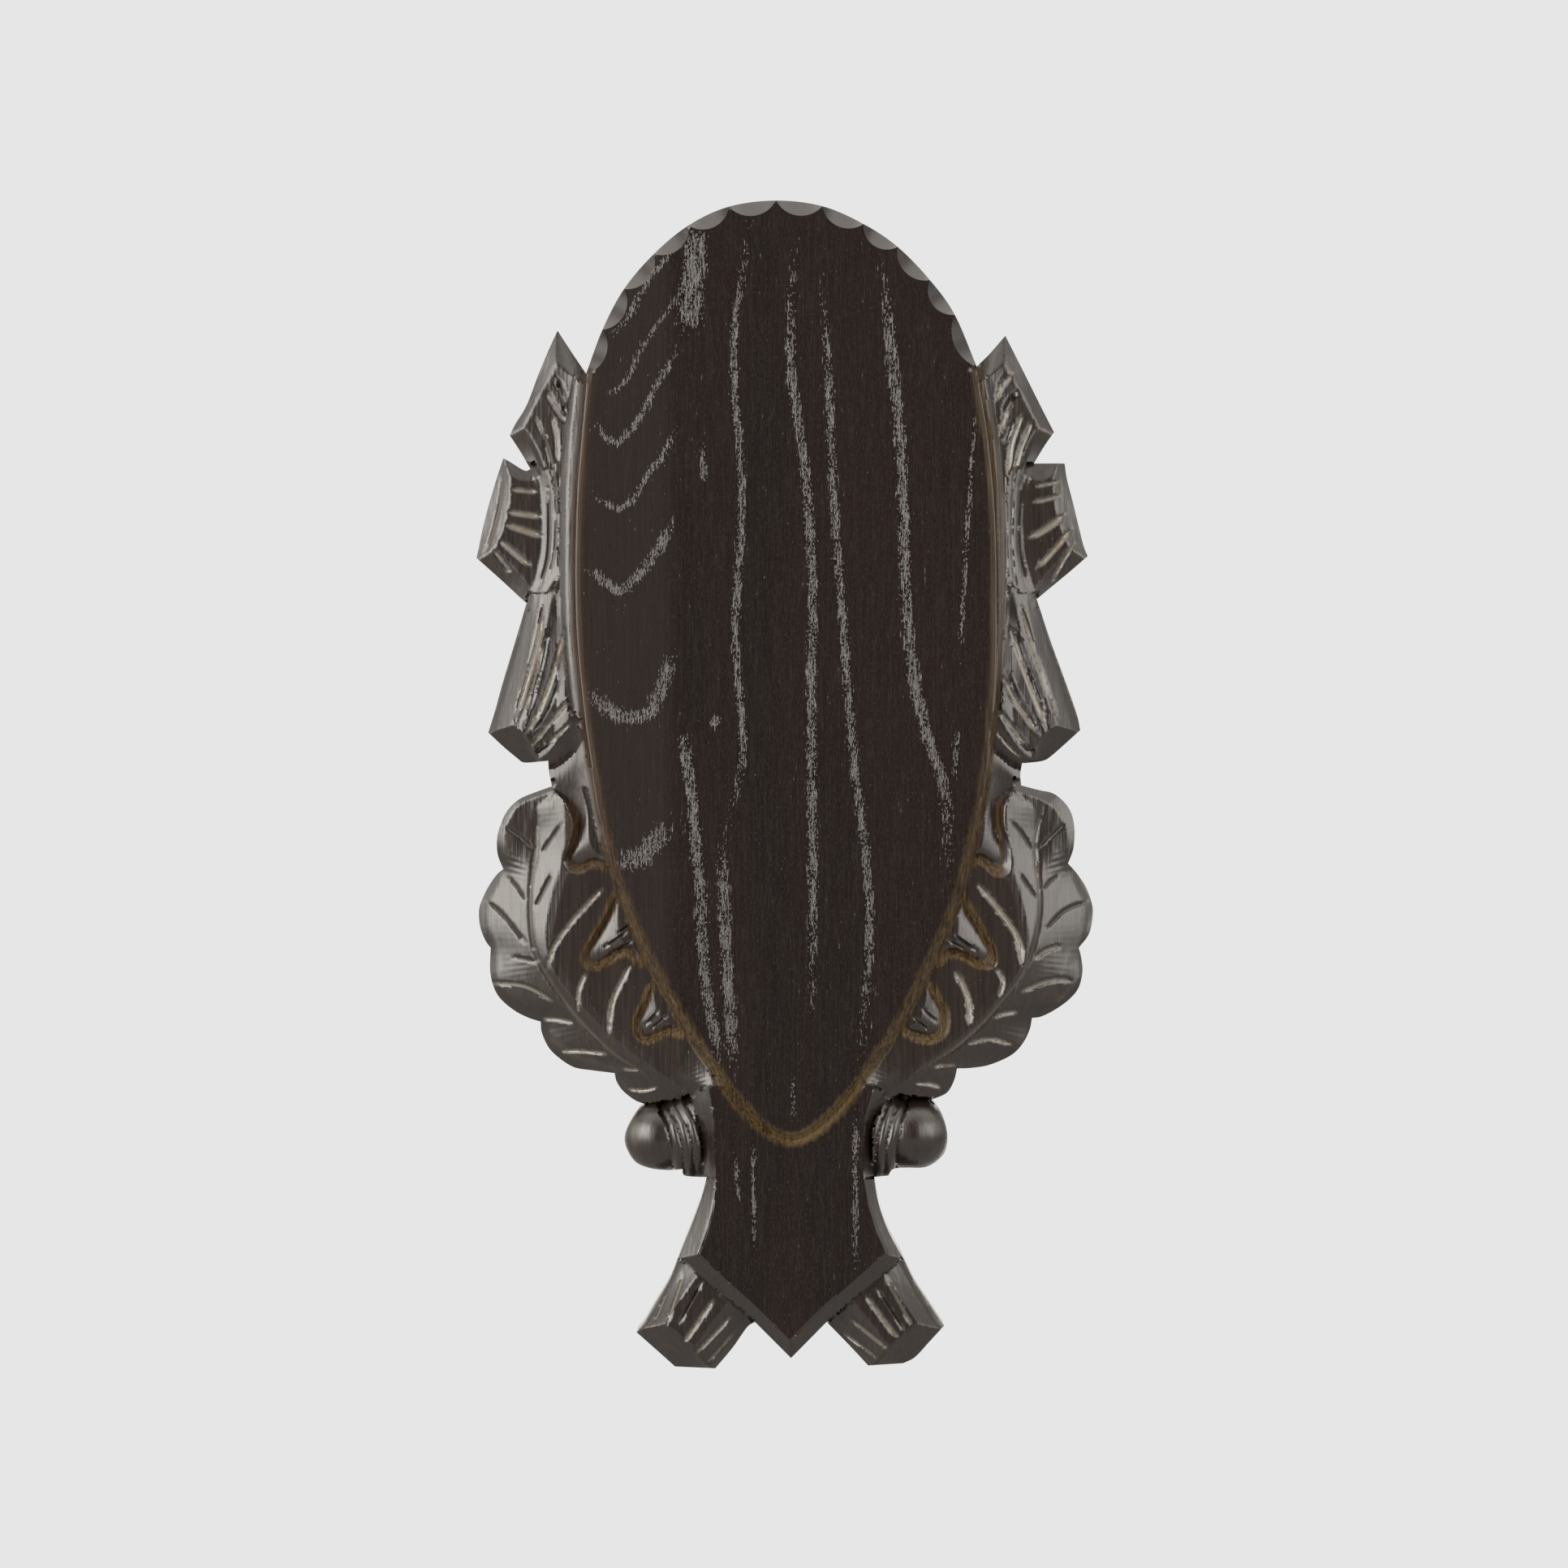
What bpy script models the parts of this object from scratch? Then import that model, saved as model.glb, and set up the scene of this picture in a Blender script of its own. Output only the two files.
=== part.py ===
"""Carved oak trophy plaque: a panel of two glued staves, with a keyhole hanger let into its back.

Frame: +Z up, the carved front faces -Y, the back lies in the plane y = 0 and the origin is the
middle of the back. Outlines are (x, z) in millimetres as seen from the front, and a height is the
distance in millimetres from the back towards the front.
"""

import math

import bmesh
import bpy
from mathutils import Matrix, Vector

MM = 0.001

# Panel
THICKNESS = 18.0
GAP = 0.3
ABOVE = THICKNESS + 6.0
SPAN = 150.0
GLUE_X = -23.4
GLUE_TILT = math.radians(0.8)
FOOT_TOP = -92.0
AXIS_X = 0.26
AXIS_LEAN = 0.0112

# Carved levels
BRANCH = 16.4
STUB = 14.3
STUB_END = 10.5
LEAF_CREST = 14.4
LEAF_MIDRIB = 12.8
LEAF_INNER = 13.4
LEAF_RIM = 9.0
POCKET = 9.0
BARK = 12.0
BARK_FOOT = 10.0
ACORN_FLOOR = 5.0
LOG = 14.5
LOG_TOP = 15.0
LOG_END = 9.0
TRUNK_BEVEL = 12.5
TRUNK_EDGE = THICKNESS + 0.4

# Tool cuts
GROOVE_RADIUS = 1.1
SCALLOPS = 12
SCALLOP_RADIUS = 7.0
SCALLOP_SLOPE = math.radians(50)
SCALLOP_BITE = 2.5
SCALLOP_REACH = 40.0
VEIN_RADIUS = 0.8
STROKE_RADIUS = 0.9
STROKE_LEVEL = STUB + 0.8
GROOVE_LEVEL = THICKNESS + 0.1
STROKE_END = 0.3

# Acorns: half length, height and half width of each form, and how far they lean
NUT = (7.6, 9.5, 7.4)
CUP_RIM = (2.0, 8.6, 8.2)
CUP = (3.0, 9.8, 9.4)
ACORN_LEAN = 0.1
FLAT_SHARE = 0.15

# Keyhole hanger, on the middle of the back near the top
HANGER_Z = 70.0
PLATE_SINK = 0.2
PLATE_LENGTH = 44.0
PLATE_WIDTH = 16.0
PLATE_THICK = 1.5
SCREW_PITCH = 34.0
SCREW_HEAD = 3.0
SCREW_SHANK = 1.5
SCREW_LENGTH = 12.0
THREADS = 6
THREAD_ROOT = 0.72
THREAD_WIDTH = 0.45
CROSS_LENGTH = 1.6
CROSS_WIDTH = 0.3
CROSS_DEPTH = 1.3
KEY_ENTRY = 4.5
KEY_SLOT = 2.4
KEY_RISE = 9.0
CAVITY_WIDTH = 12.0
CAVITY_DEPTH = 7.0

# Each run of the outline is one smooth stretch, and its corners are where two runs meet.
LEFT_EDGE = (
    ((-42.3, 87.7), (-45, 91.3), (-48.2, 95.7)),
    ((-48.2, 95.7), (-50, 92.3), (-55, 81), (-58.6, 74.5)),
    ((-58.6, 74.5), (-54.2, 67.3)),
    ((-54.2, 67.3), (-56.5, 67.6), (-60, 69.6)),
    ((-60, 69.6), (-63, 60), (-65.7, 48.3)),
    ((-65.7, 48.3), (-60, 43.2), (-55, 38.7)),
    ((-55, 38.7), (-57, 32), (-60.3, 21), (-63.2, 11)),
    ((-63.2, 11), (-60, 8), (-57, 5.5), (-50.2, 4.8)),
    ((-50.2, 4.8), (-49.6, -0.5)),
    ((-49.6, -0.5), (-56.5, -3.2), (-60.5, -8.5), (-61.2, -15), (-60, -18.2)),
    ((-60, -18.2), (-63.5, -22.5), (-65.2, -28.5), (-62.7, -35)),
    ((-62.7, -35), (-62.7, -40), (-60.5, -46), (-52, -50.8)),
    ((-52, -50.8), (-50.5, -56), (-45, -60.5), (-36.2, -61.8)),
    ((-36.2, -61.8), (-34.5, -65.5), (-29.8, -68.3)),
    ((-29.8, -68.3), (-33.9, -75), (-32, -80.5), (-27, -82.5), (-21.7, -82.3)),
    ((-21.7, -82.3), (-21.2, -84), (-16.5, -84)),
    ((-16.5, -84), (-18, -89.5), (-22.6, -101.3)),
    ((-22.6, -101.3), (-27.5, -111), (-31.5, -117.2)),
    ((-31.5, -117.2), (-28, -120.3), (-23.3, -124.5)),
    ((-23.3, -124.5), (-14.7, -124.9)),
    ((-14.7, -124.9), (-11, -120.5), (-6.2, -115)),
    ((-6.2, -115), (1.5, -122.7)),
)
RIGHT_EDGE = (
    ((1.5, -122.7), (9, -115.2)),
    ((9, -115.2), (14, -120), (18, -124.3)),
    ((18, -124.3), (25.5, -123.8)),
    ((25.5, -123.8), (31, -119.3), (34.2, -115.8)),
    ((34.2, -115.8), (31, -111), (25.6, -101.5)),
    ((25.6, -101.5), (21, -92), (19.3, -84)),
    ((19.3, -84), (22.3, -83.7)),
    ((22.3, -83.7), (23.3, -82.3), (30.5, -81.8), (34.8, -76), (31.5, -67.5)),
    ((31.5, -67.5), (34.8, -66), (37, -60.8)),
    ((37, -60.8), (44, -60), (51, -55.5), (53, -50)),
    ((53, -50), (58, -48.2), (63, -43.5), (63, -35)),
    ((63, -35), (65.2, -32), (65.8, -25.5), (60.7, -17)),
    ((60.7, -17), (62.1, -10), (58.8, -2.8), (50.7, -0.3)),
    ((50.7, -0.3), (50.8, 4.6)),
    ((50.8, 4.6), (56.5, 5.5), (63.3, 11.5)),
    ((63.3, 11.5), (59, 25), (54, 39.5)),
    ((54, 39.5), (61, 45.3), (64.9, 48.7)),
    ((64.9, 48.7), (61.8, 60), (60, 68.3)),
    ((60, 68.3), (53.4, 68.5)),
    ((53.4, 68.5), (57.7, 75.2)),
    ((57.7, 75.2), (53, 84.5), (47.3, 95.8)),
    ((47.3, 95.8), (44, 92), (41.2, 89.2)),
)
TOP_EDGE = (
    (
        (41.2, 89.2), (38.5, 96), (34, 104.3), (28.5, 111.2), (21.5, 117.3), (12.5, 122.2),
        (3, 124.4), (-7, 124.2), (-16.5, 121.3), (-24.5, 116), (-30.5, 110.3), (-36.8, 101),
        (-42.3, 87.7),
    ),
)

# The groove that frames the oval field, down the left side, round the point and up the right
OVAL = (
    (-42.2, 87.5), (-43.4, 78), (-44.4, 62), (-44.4, 40), (-43, 18), (-39.6, -4), (-32.8, -28),
    (-22.6, -49.5), (-11.2, -66.8), (-4.5, -73.8), (1.7, -76), (7.8, -73.6), (13.8, -67.2),
    (26.4, -48.2), (36, -27), (42.2, -3), (44.7, 20), (45.2, 45), (43.8, 71), (41.4, 88.5),
)

# Carving of the left side, from the outside in. The right side mirrors it.
UPPER_STUB = (
    (STUB_END, ((-47.4, 98.5), (-51.4, 92.5), (-55.9, 82), (-61.5, 71.5))),
    (STUB, ((-47, 95), (-49.8, 88), (-52.4, 83), (-57.5, 70.5))),
    (BRANCH, ((-43.6, 91), (-46.6, 80), (-48, 72.5), (-52, 65))),
)
MIDDLE_STUB = (
    (STUB_END, ((-61, 71.5), (-63, 64), (-65, 56), (-68.5, 47))),
    (STUB, ((-58.6, 70.5), (-58.4, 63), (-60.4, 54), (-65.2, 45.5))),
    (BRANCH, ((-51.5, 66.7), (-48.3, 60), (-48.6, 47), (-52.5, 37))),
)
LOWER_STUB = (
    (STUB_END, ((-65, 11), (-60.5, 6.5), (-54, 3.2), (-48.4, 4))),
    (STUB, ((-64, 13.6), (-58, 12), (-52.8, 7.2), (-46.5, 9.5))),
    (STUB, ((-62.5, 20), (-56, 19), (-50, 17), (-45, 18))),
    (BRANCH, ((-58, 38), (-53.5, 38.5), (-49.5, 38), (-46.5, 37))),
)
BRANCH_STRIP = (
    (BRANCH, ((-53, 66), (-49.6, 60), (-49.8, 48), (-53, 38.5), (-48.4, 26), (-45, 12))),
    (BRANCH, ((-41.6, 92), (-44.2, 60), (-44.2, 44), (-43.8, 36), (-43, 22), (-41.4, 6))),
)
BARK_STRIP = (
    (BARK_FOOT, ((-52, 6), (-52, 2), (-48, -3.5), (-44.4, -8), (-45.6, -16.4))),
    (BARK, ((-44.6, 14.5), (-43, 5), (-41, -3), (-39.2, -9), (-36.6, -18.5))),
)
LEAF_BODY = (
    (LEAF_RIM, (
        (-49.5, 1.5), (-62, -1), (-63.5, -14), (-68, -28), (-64, -46), (-48, -62.5),
        (-28.5, -70.5),
    )),
    (LEAF_CREST, (
        (-48.6, 0), (-57, -6), (-57.5, -15), (-59, -27), (-57, -39), (-43, -56.5),
        (-25.8, -66.5),
    )),
    (LEAF_MIDRIB, (
        (-47.8, -1.5), (-52.8, -8), (-53, -17), (-54.2, -27), (-51.5, -39.8), (-40, -54.5),
        (-24, -63.8),
    )),
    (LEAF_CREST, (
        (-46, -2.5), (-49, -9), (-49.5, -17), (-49.5, -27), (-46, -38), (-35, -50),
        (-20.5, -62.5),
    )),
    (LEAF_INNER, (
        (-42.5, -4), (-40, -9), (-37.6, -15.5), (-33.8, -25), (-28, -38), (-22.4, -49),
        (-13.4, -62.5),
    )),
)
ACORN_BED = (
    (ACORN_FLOOR, ((-30.5, -65.4), (-38, -72), (-36, -81), (-27, -86.5), (-19, -87.5))),
    (ACORN_FLOOR, ((-25.2, -64), (-24.5, -72), (-24.2, -76), (-23, -80), (-18.8, -84))),
    (BARK, ((-17, -60), (-16.4, -69), (-15.4, -75), (-14.8, -81), (-14.6, -87.5))),
)
TRUNK_SIDE = (
    (TRUNK_BEVEL, ((-19.5, -78), (-20, -86), (-22.6, -93), (-26.5, -101))),
    (TRUNK_EDGE, ((-14.2, -76), (-14.2, -85), (-15, -92), (-18.2, -101))),
)
LOG_STUB = (
    (LOG_END, ((-34.5, -117), (-29.5, -122), (-23.5, -127), (-12.5, -127.5))),
    (LOG, ((-32.5, -112.5), (-26.5, -115.2), (-21.5, -118.4), (-15, -126.3))),
    (LOG_TOP, ((-24.5, -98.9), (-17.5, -106), (-11.5, -110.6), (-5.4, -116.4))),
)
LEFT_POCKETS = (
    ((-36, -24.5), (-39.5, -32.5), (-42.3, -38), (-40, -39.3), (-35, -36.5), (-31, -38), (-33, -31)),
    ((-28.5, -44.5), (-31.5, -51), (-30.3, -54.5), (-27, -54), (-23.3, -53), (-25.5, -49)),
)
RIGHT_POCKETS = (
    ((37.5, -24), (40.5, -29), (43.8, -35.5), (42.6, -38.2), (37.5, -36.2), (33.5, -37.6),
     (34.7, -30.5)),
    ((31, -44), (33.3, -48), (33.5, -52.5), (30.5, -54), (26, -52.6), (28, -49.5)),
)

# Single strokes of a narrow gouge on the left side
VEINS = (
    ((-52.8, -4), (-53, -15), (-54.2, -26), (-52.5, -38), (-44.5, -49.5), (-28, -62.5)),
    ((-59.4, -9), (-53.9, -14)),
    ((-63, -25), (-55.6, -33)),
    ((-61.6, -42.5), (-50, -46)),
    ((-48, -57), (-38.5, -57.7)),
    ((-48, -8.5), (-51.4, -14)),
    ((-40, -23), (-50, -39)),
    ((-33.4, -39.5), (-37.4, -53)),
)
STUB_STROKES = (
    ((-50.5, 84), (-46.8, 77.3)),
    ((-54.2, 78), (-49.5, 69.5)),
    ((-58, 63), (-52.5, 62.5)),
    ((-59.3, 56), (-51.6, 54)),
    ((-61, 51.5), (-54.5, 46.7)),
    ((-51.5, 36), (-57.3, 13)),
    ((-49, 27), (-54.5, 11)),
    ((-46.4, 18), (-51.2, 9)),
    ((-22, -105), (-25.5, -114.5)),
    ((-16, -110), (-21, -117.5)),
    ((-11.8, -114.5), (-18, -121)),
)


def mirrored(points):
    """The same points on the right side. The carving's middle leans a little from the upright."""
    return tuple((2 * (AXIS_X - AXIS_LEAN * z) - x, z) for x, z in points)


def smooth(points, steps=3):
    """Points along a Catmull-Rom curve through the given ones, in their order."""
    ends = (points[0], *points, points[-1])
    found = []
    for i in range(1, len(points)):
        p0, p1, p2, p3 = ends[i - 1 : i + 3]
        for step in range(steps):
            t = step / steps
            found.append(tuple(
                0.5 * (2 * b + (c - a) * t + (2 * a - 5 * b + 4 * c - d) * t ** 2
                       + (3 * b - a - 3 * c + d) * t ** 3)
                for a, b, c, d in zip(p0, p1, p2, p3)
            ))
    return found + [points[-1]]


def outline(runs, steps=3):
    """Closed outline of smooth runs that meet at corners."""
    return [point for run in runs for point in smooth(run, steps if len(run) > 2 else 1)[:-1]]


def collection(name):
    made = bpy.data.collections.new(name)
    bpy.context.scene.collection.children.link(made)
    return made


def add(name, mesh, group):
    obj = bpy.data.objects.new(name, mesh)
    group.objects.link(obj)
    if group is CUTTERS:
        obj.hide_render = True
        obj.display_type = "WIRE"
    return obj


def as_mesh(curve_object, group):
    """The curve object made a mesh object with welded caps, because a Boolean takes no curve."""
    bpy.context.view_layer.update()
    graph = bpy.context.evaluated_depsgraph_get()
    mesh = bpy.data.meshes.new_from_object(curve_object.evaluated_get(graph))
    shape = bmesh.new()
    shape.from_mesh(mesh)
    bmesh.ops.remove_doubles(shape, verts=shape.verts, dist=1e-6)
    bmesh.ops.dissolve_limit(shape, angle_limit=1e-4, verts=shape.verts, edges=shape.edges)
    bmesh.ops.triangulate(shape, faces=shape.faces)
    bmesh.ops.recalc_face_normals(shape, faces=shape.faces)
    shape.to_mesh(mesh)
    shape.free()
    name = curve_object.name
    matrix = curve_object.matrix_world.copy()
    bpy.data.objects.remove(curve_object)
    obj = add(name, mesh, group)
    obj.matrix_world = matrix
    return obj


def sawn(name, points, low, high, group):
    """Flat outline sawn out of stock that reaches from one height to the other."""
    curve = bpy.data.curves.new(name, "CURVE")
    curve.dimensions = "2D"
    curve.fill_mode = "BOTH"
    curve.extrude = (high - low) / 2 * MM
    spline = curve.splines.new("POLY")
    spline.points.add(len(points) - 1)
    spline.use_cyclic_u = True
    for place, (x, z) in zip(spline.points, points):
        place.co = (x * MM, z * MM, 0, 1)
    obj = add(name, curve, group)
    obj.rotation_euler = (math.pi / 2, 0, 0)
    obj.location = (0, -(high + low) / 2 * MM, 0)
    return as_mesh(obj, group)


def gouge(name, points, height, radius, sides, taper):
    """Stroke of a round gouge: a tube along the points, narrowed at its ends when it tapers."""
    curve = bpy.data.curves.new(name, "CURVE")
    curve.dimensions = "3D"
    curve.bevel_depth = radius * MM
    curve.bevel_resolution = sides
    curve.use_fill_caps = True
    spline = curve.splines.new("POLY")
    spline.points.add(len(points) - 1)
    for i, (x, z) in enumerate(points):
        spline.points[i].co = (x * MM, -height * MM, z * MM, 1)
        spline.points[i].radius = STROKE_END if taper and i in (0, len(points) - 1) else 1
    return as_mesh(add(name, curve, CUTTERS), CUTTERS)


def carving(name, rails, steps=3):
    """Cutter that takes the wood down to a surface stretched over rails, each (height, points)."""
    rows = [(height, smooth(points, steps)) for height, points in rails]
    shape = bmesh.new()
    floor = [[shape.verts.new((x * MM, -h * MM, z * MM)) for x, z in row] for h, row in rows]
    lid = [[shape.verts.new((x * MM, -ABOVE * MM, z * MM)) for x, z in row] for h, row in rows]
    for sheet in (floor, lid):
        for first, second in zip(sheet, sheet[1:]):
            for i in range(len(first) - 1):
                shape.faces.new((first[i], first[i + 1], second[i + 1], second[i]))
    for low, high in ((floor[0], lid[0]), (floor[-1], lid[-1])):
        for i in range(len(low) - 1):
            shape.faces.new((low[i], low[i + 1], high[i + 1], high[i]))
    for end in (0, -1):
        for i in range(len(floor) - 1):
            shape.faces.new((floor[i][end], floor[i + 1][end], lid[i + 1][end], lid[i][end]))
    bmesh.ops.triangulate(shape, faces=shape.faces)
    bmesh.ops.recalc_face_normals(shape, faces=shape.faces)
    mesh = bpy.data.meshes.new(name)
    shape.to_mesh(mesh)
    shape.free()
    return add(name, mesh, CUTTERS)


def turned(name, profile, sides, group):
    """Round piece whose profile is (radius, distance) pairs in millimetres along its axis, +Z."""
    mesh = bpy.data.meshes.new(name)
    shape = bmesh.new()
    ring = [shape.verts.new((r * MM, 0, z * MM)) for r, z in profile]
    for first, second in zip(ring, ring[1:]):
        shape.edges.new((first, second))
    shape.to_mesh(mesh)
    shape.free()
    obj = add(name, mesh, group)
    screw = obj.modifiers.new("turn", "SCREW")
    screw.steps = sides
    screw.render_steps = sides
    screw.use_merge_vertices = True
    screw.merge_threshold = 1e-6
    return obj


def dome(name, centre, radii, tilt):
    """Rounded form such as a nut: a ball stretched to three radii, its middle above the bed."""
    mesh = bpy.data.meshes.new(name)
    shape = bmesh.new()
    bmesh.ops.create_uvsphere(shape, u_segments=20, v_segments=12, radius=1)
    everything = [*shape.verts, *shape.edges, *shape.faces]
    bmesh.ops.bisect_plane(
        shape, geom=everything, plane_co=(0, FLAT_SHARE, 0), plane_no=(0, 1, 0), clear_outer=True
    )
    bmesh.ops.holes_fill(shape, edges=[edge for edge in shape.edges if edge.is_boundary])
    bmesh.ops.triangulate(shape, faces=shape.faces)
    bmesh.ops.recalc_face_normals(shape, faces=shape.faces)
    shape.to_mesh(mesh)
    shape.free()
    obj = add(name, mesh, CUTTERS)
    obj.location = (centre[0] * MM, -(ACORN_FLOOR - 1) * MM, centre[1] * MM)
    obj.rotation_euler = (0, tilt, 0)
    obj.scale = tuple(radius * MM for radius in radii)
    return obj


def boolean(obj, operation, *others):
    for other in others:
        modifier = obj.modifiers.new(other.name, "BOOLEAN")
        modifier.operation = operation
        modifier.object = other


def principled(name, colour, roughness, metallic=0.0):
    material = bpy.data.materials.new(name)
    material.use_nodes = True
    shader = material.node_tree.nodes["Principled BSDF"]
    shader.inputs["Base Color"].default_value = (*colour, 1)
    shader.inputs["Roughness"].default_value = roughness
    shader.inputs["Metallic"].default_value = metallic
    return material


def finish(obj, material):
    obj.data.materials.clear()
    obj.data.materials.append(material)
    obj.data.shade_smooth()
    obj.data.set_sharp_from_angle(angle=math.radians(30))


def side_carvings(side, turn, pockets):
    """Everything that is carved away on one side of the oval."""
    regions = {
        "upper_stub": UPPER_STUB,
        "middle_stub": MIDDLE_STUB,
        "lower_stub": LOWER_STUB,
        "branch_strip": BRANCH_STRIP,
        "bark_strip": BARK_STRIP,
        "leaf_body": LEAF_BODY,
        "acorn_bed": ACORN_BED,
        "trunk_side": TRUNK_SIDE,
        "log_stub": LOG_STUB,
    }
    cuts = [
        carving(f"{name}_{side}", tuple((h, turn(points)) for h, points in rails))
        for name, rails in regions.items()
    ]
    for i, points in enumerate(pockets):
        closed = smooth((*points, points[0]))[:-1]
        cuts.append(sawn(f"pocket_{i}_{side}", closed, POCKET, ABOVE, CUTTERS))
    return cuts


def side_strokes(side, turn):
    veins = [
        gouge(f"vein_{i}_{side}", smooth(turn(points), 2), LEAF_CREST, VEIN_RADIUS, 1, True)
        for i, points in enumerate(VEINS)
    ]
    strokes = [
        gouge(f"stroke_{i}_{side}", turn(points), STROKE_LEVEL, STROKE_RADIUS, 1, False)
        for i, points in enumerate(STUB_STROKES)
    ]
    return veins + strokes


def cylinder(name, start, direction, radius, length, sides):
    """Round cutter along a direction, its middle at the start point, all in world millimetres."""
    mesh = bpy.data.meshes.new(name)
    shape = bmesh.new()
    bmesh.ops.create_cone(
        shape, cap_ends=True, segments=sides, depth=length * MM,
        radius1=radius * MM, radius2=radius * MM,
    )
    shape.to_mesh(mesh)
    shape.free()
    obj = add(name, mesh, CUTTERS)
    turn = Vector(direction).to_track_quat("Z", "Y").to_matrix().to_4x4()
    obj.matrix_world = Matrix.Translation(Vector(start) * MM) @ turn
    return obj


def scallops():
    """Gouge cuts side by side along the top edge, each sloping outward and towards the back."""
    edge = smooth(TOP_EDGE[0], 12)
    lengths = [0.0]
    for a, b in zip(edge, edge[1:]):
        lengths.append(lengths[-1] + math.dist(a, b))
    pitch = lengths[-1] / SCALLOPS
    stretch = SCALLOP_RADIUS / math.sin(SCALLOP_SLOPE)
    cuts = []
    for i in range(SCALLOPS):
        k = next(k for k, length in enumerate(lengths) if length >= (i + 0.5) * pitch)
        (ax, az), (bx, bz) = edge[k - 1], edge[k]
        size = math.dist(edge[k - 1], edge[k])
        # The edge runs right to left over the top, so its outward side is on its right hand.
        out_x, out_z = (bz - az) / size, (ax - bx) / size
        reach = stretch - SCALLOP_BITE
        start = (ax + out_x * reach, -THICKNESS, az + out_z * reach)
        level = math.cos(SCALLOP_SLOPE)
        direction = (out_x * level, math.sin(SCALLOP_SLOPE), out_z * level)
        name = f"scallop_{i}"
        cuts.append(cylinder(name, start, direction, SCALLOP_RADIUS, SCALLOP_REACH, 32))
    return cuts


def acorns():
    """Nut and ringed cup on each side, lying with their stalk ends against the trunk."""
    forms = []
    for side, x in (("left", -1), ("right", 1)):
        lean = ACORN_LEAN * x
        forms.append(dome(f"nut_{side}", (27.2 * x, -75.2), NUT, lean))
        forms.append(dome(f"cup_rim_{side}", (23.8 * x, -75.4), CUP_RIM, lean))
        forms.append(dome(f"cup_{side}", (20.6 * x, -75.6), CUP, lean))
    return forms


def oblong(half_width, half_length):
    """Corners of a rectangle round the origin."""
    return [
        (-half_width, -half_length), (half_width, -half_length),
        (half_width, half_length), (-half_width, half_length),
    ]


def panel():
    """The whole carved panel, before it is parted into staves along the glue line."""
    board = sawn("panel", oblong(SPAN, SPAN), 0, THICKNESS, CUTTERS)
    cuts = side_carvings("left", tuple, LEFT_POCKETS)
    cuts += side_carvings("right", mirrored, RIGHT_POCKETS)
    boolean(board, "DIFFERENCE", *cuts)
    boolean(board, "UNION", *acorns())
    edge = outline((*LEFT_EDGE, *RIGHT_EDGE, *TOP_EDGE))
    boolean(board, "INTERSECT", sawn("sawn_edge", edge, -1, ABOVE, CUTTERS))
    groove = gouge("oval_groove", smooth(OVAL, 3), GROOVE_LEVEL, GROOVE_RADIUS, 2, False)
    strokes = side_strokes("left", tuple) + side_strokes("right", mirrored)
    boolean(board, "DIFFERENCE", groove, *strokes)
    boolean(board, "DIFFERENCE", *scallops())
    return board


def glue_line(z, side):
    """The glue line leans a little from the upright. The gap lies half on each side of it."""
    return GLUE_X + math.tan(GLUE_TILT) * z + side * GAP / 2


def stave(name, board, side, bottom, top):
    """The part of the panel on one side of the glue line, between two levels."""
    far = side * SPAN
    corners = [
        (far, bottom), (glue_line(bottom, side), bottom),
        (glue_line(top, side), top), (far, top),
    ]
    bpy.context.view_layer.update()
    graph = bpy.context.evaluated_depsgraph_get()
    obj = add(name, bpy.data.meshes.new_from_object(board.evaluated_get(graph)), PARTS)
    obj.matrix_world = board.matrix_world
    boolean(obj, "INTERSECT", sawn(name + "_side", corners, -2, ABOVE, CUTTERS))
    finish(obj, OAK)
    return obj


def arc(centre, radius, start, end, count):
    """Points round a circle from one angle to another, in degrees."""
    angles = [math.radians(start + (end - start) * i / count) for i in range(count + 1)]
    return [(centre[0] + radius * math.cos(a), centre[1] + radius * math.sin(a)) for a in angles]


def capsule(half_width, half_length, z):
    """Upright outline with round ends."""
    top = arc((0, z + half_length - half_width), half_width, 0, 180, 12)
    bottom = arc((0, z - half_length + half_width), half_width, 180, 360, 12)
    return top + bottom


def keyhole(grow):
    """Round entry with a narrower slot rising from it, grown all round."""
    entry, slot = KEY_ENTRY + grow, KEY_SLOT + grow
    shoulder = math.degrees(math.acos(slot / entry))
    z = HANGER_Z - KEY_RISE / 2
    top = arc((0, z + KEY_RISE), slot, 0, 180, 10)
    return top + arc((0, z), entry, 180 - shoulder, 360 + shoulder, 18)


def hanger(wide):
    """Keyhole plate let into the back of a stave, with its two screws."""
    back = PLATE_SINK + PLATE_THICK
    form = capsule(PLATE_WIDTH / 2, PLATE_LENGTH / 2, HANGER_Z)
    plate = sawn("hanger_plate", form, PLATE_SINK, back, PARTS)
    recess = capsule(PLATE_WIDTH / 2 + GAP, PLATE_LENGTH / 2 + GAP, HANGER_Z)
    boolean(wide, "DIFFERENCE", sawn("plate_recess", recess, -1, back + GAP, CUTTERS))
    boolean(plate, "DIFFERENCE", sawn("keyhole", keyhole(0), -1, ABOVE, CUTTERS))
    cavity = capsule(CAVITY_WIDTH / 2, KEY_RISE / 2 + CAVITY_WIDTH / 2 + 1, HANGER_Z)
    boolean(wide, "DIFFERENCE", sawn("head_cavity", cavity, -1, CAVITY_DEPTH, CUTTERS))
    for name, side in (("top", 1), ("bottom", -1)):
        wood_screw(name, HANGER_Z + side * SCREW_PITCH / 2, plate, wide)
    finish(plate, STEEL)


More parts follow.
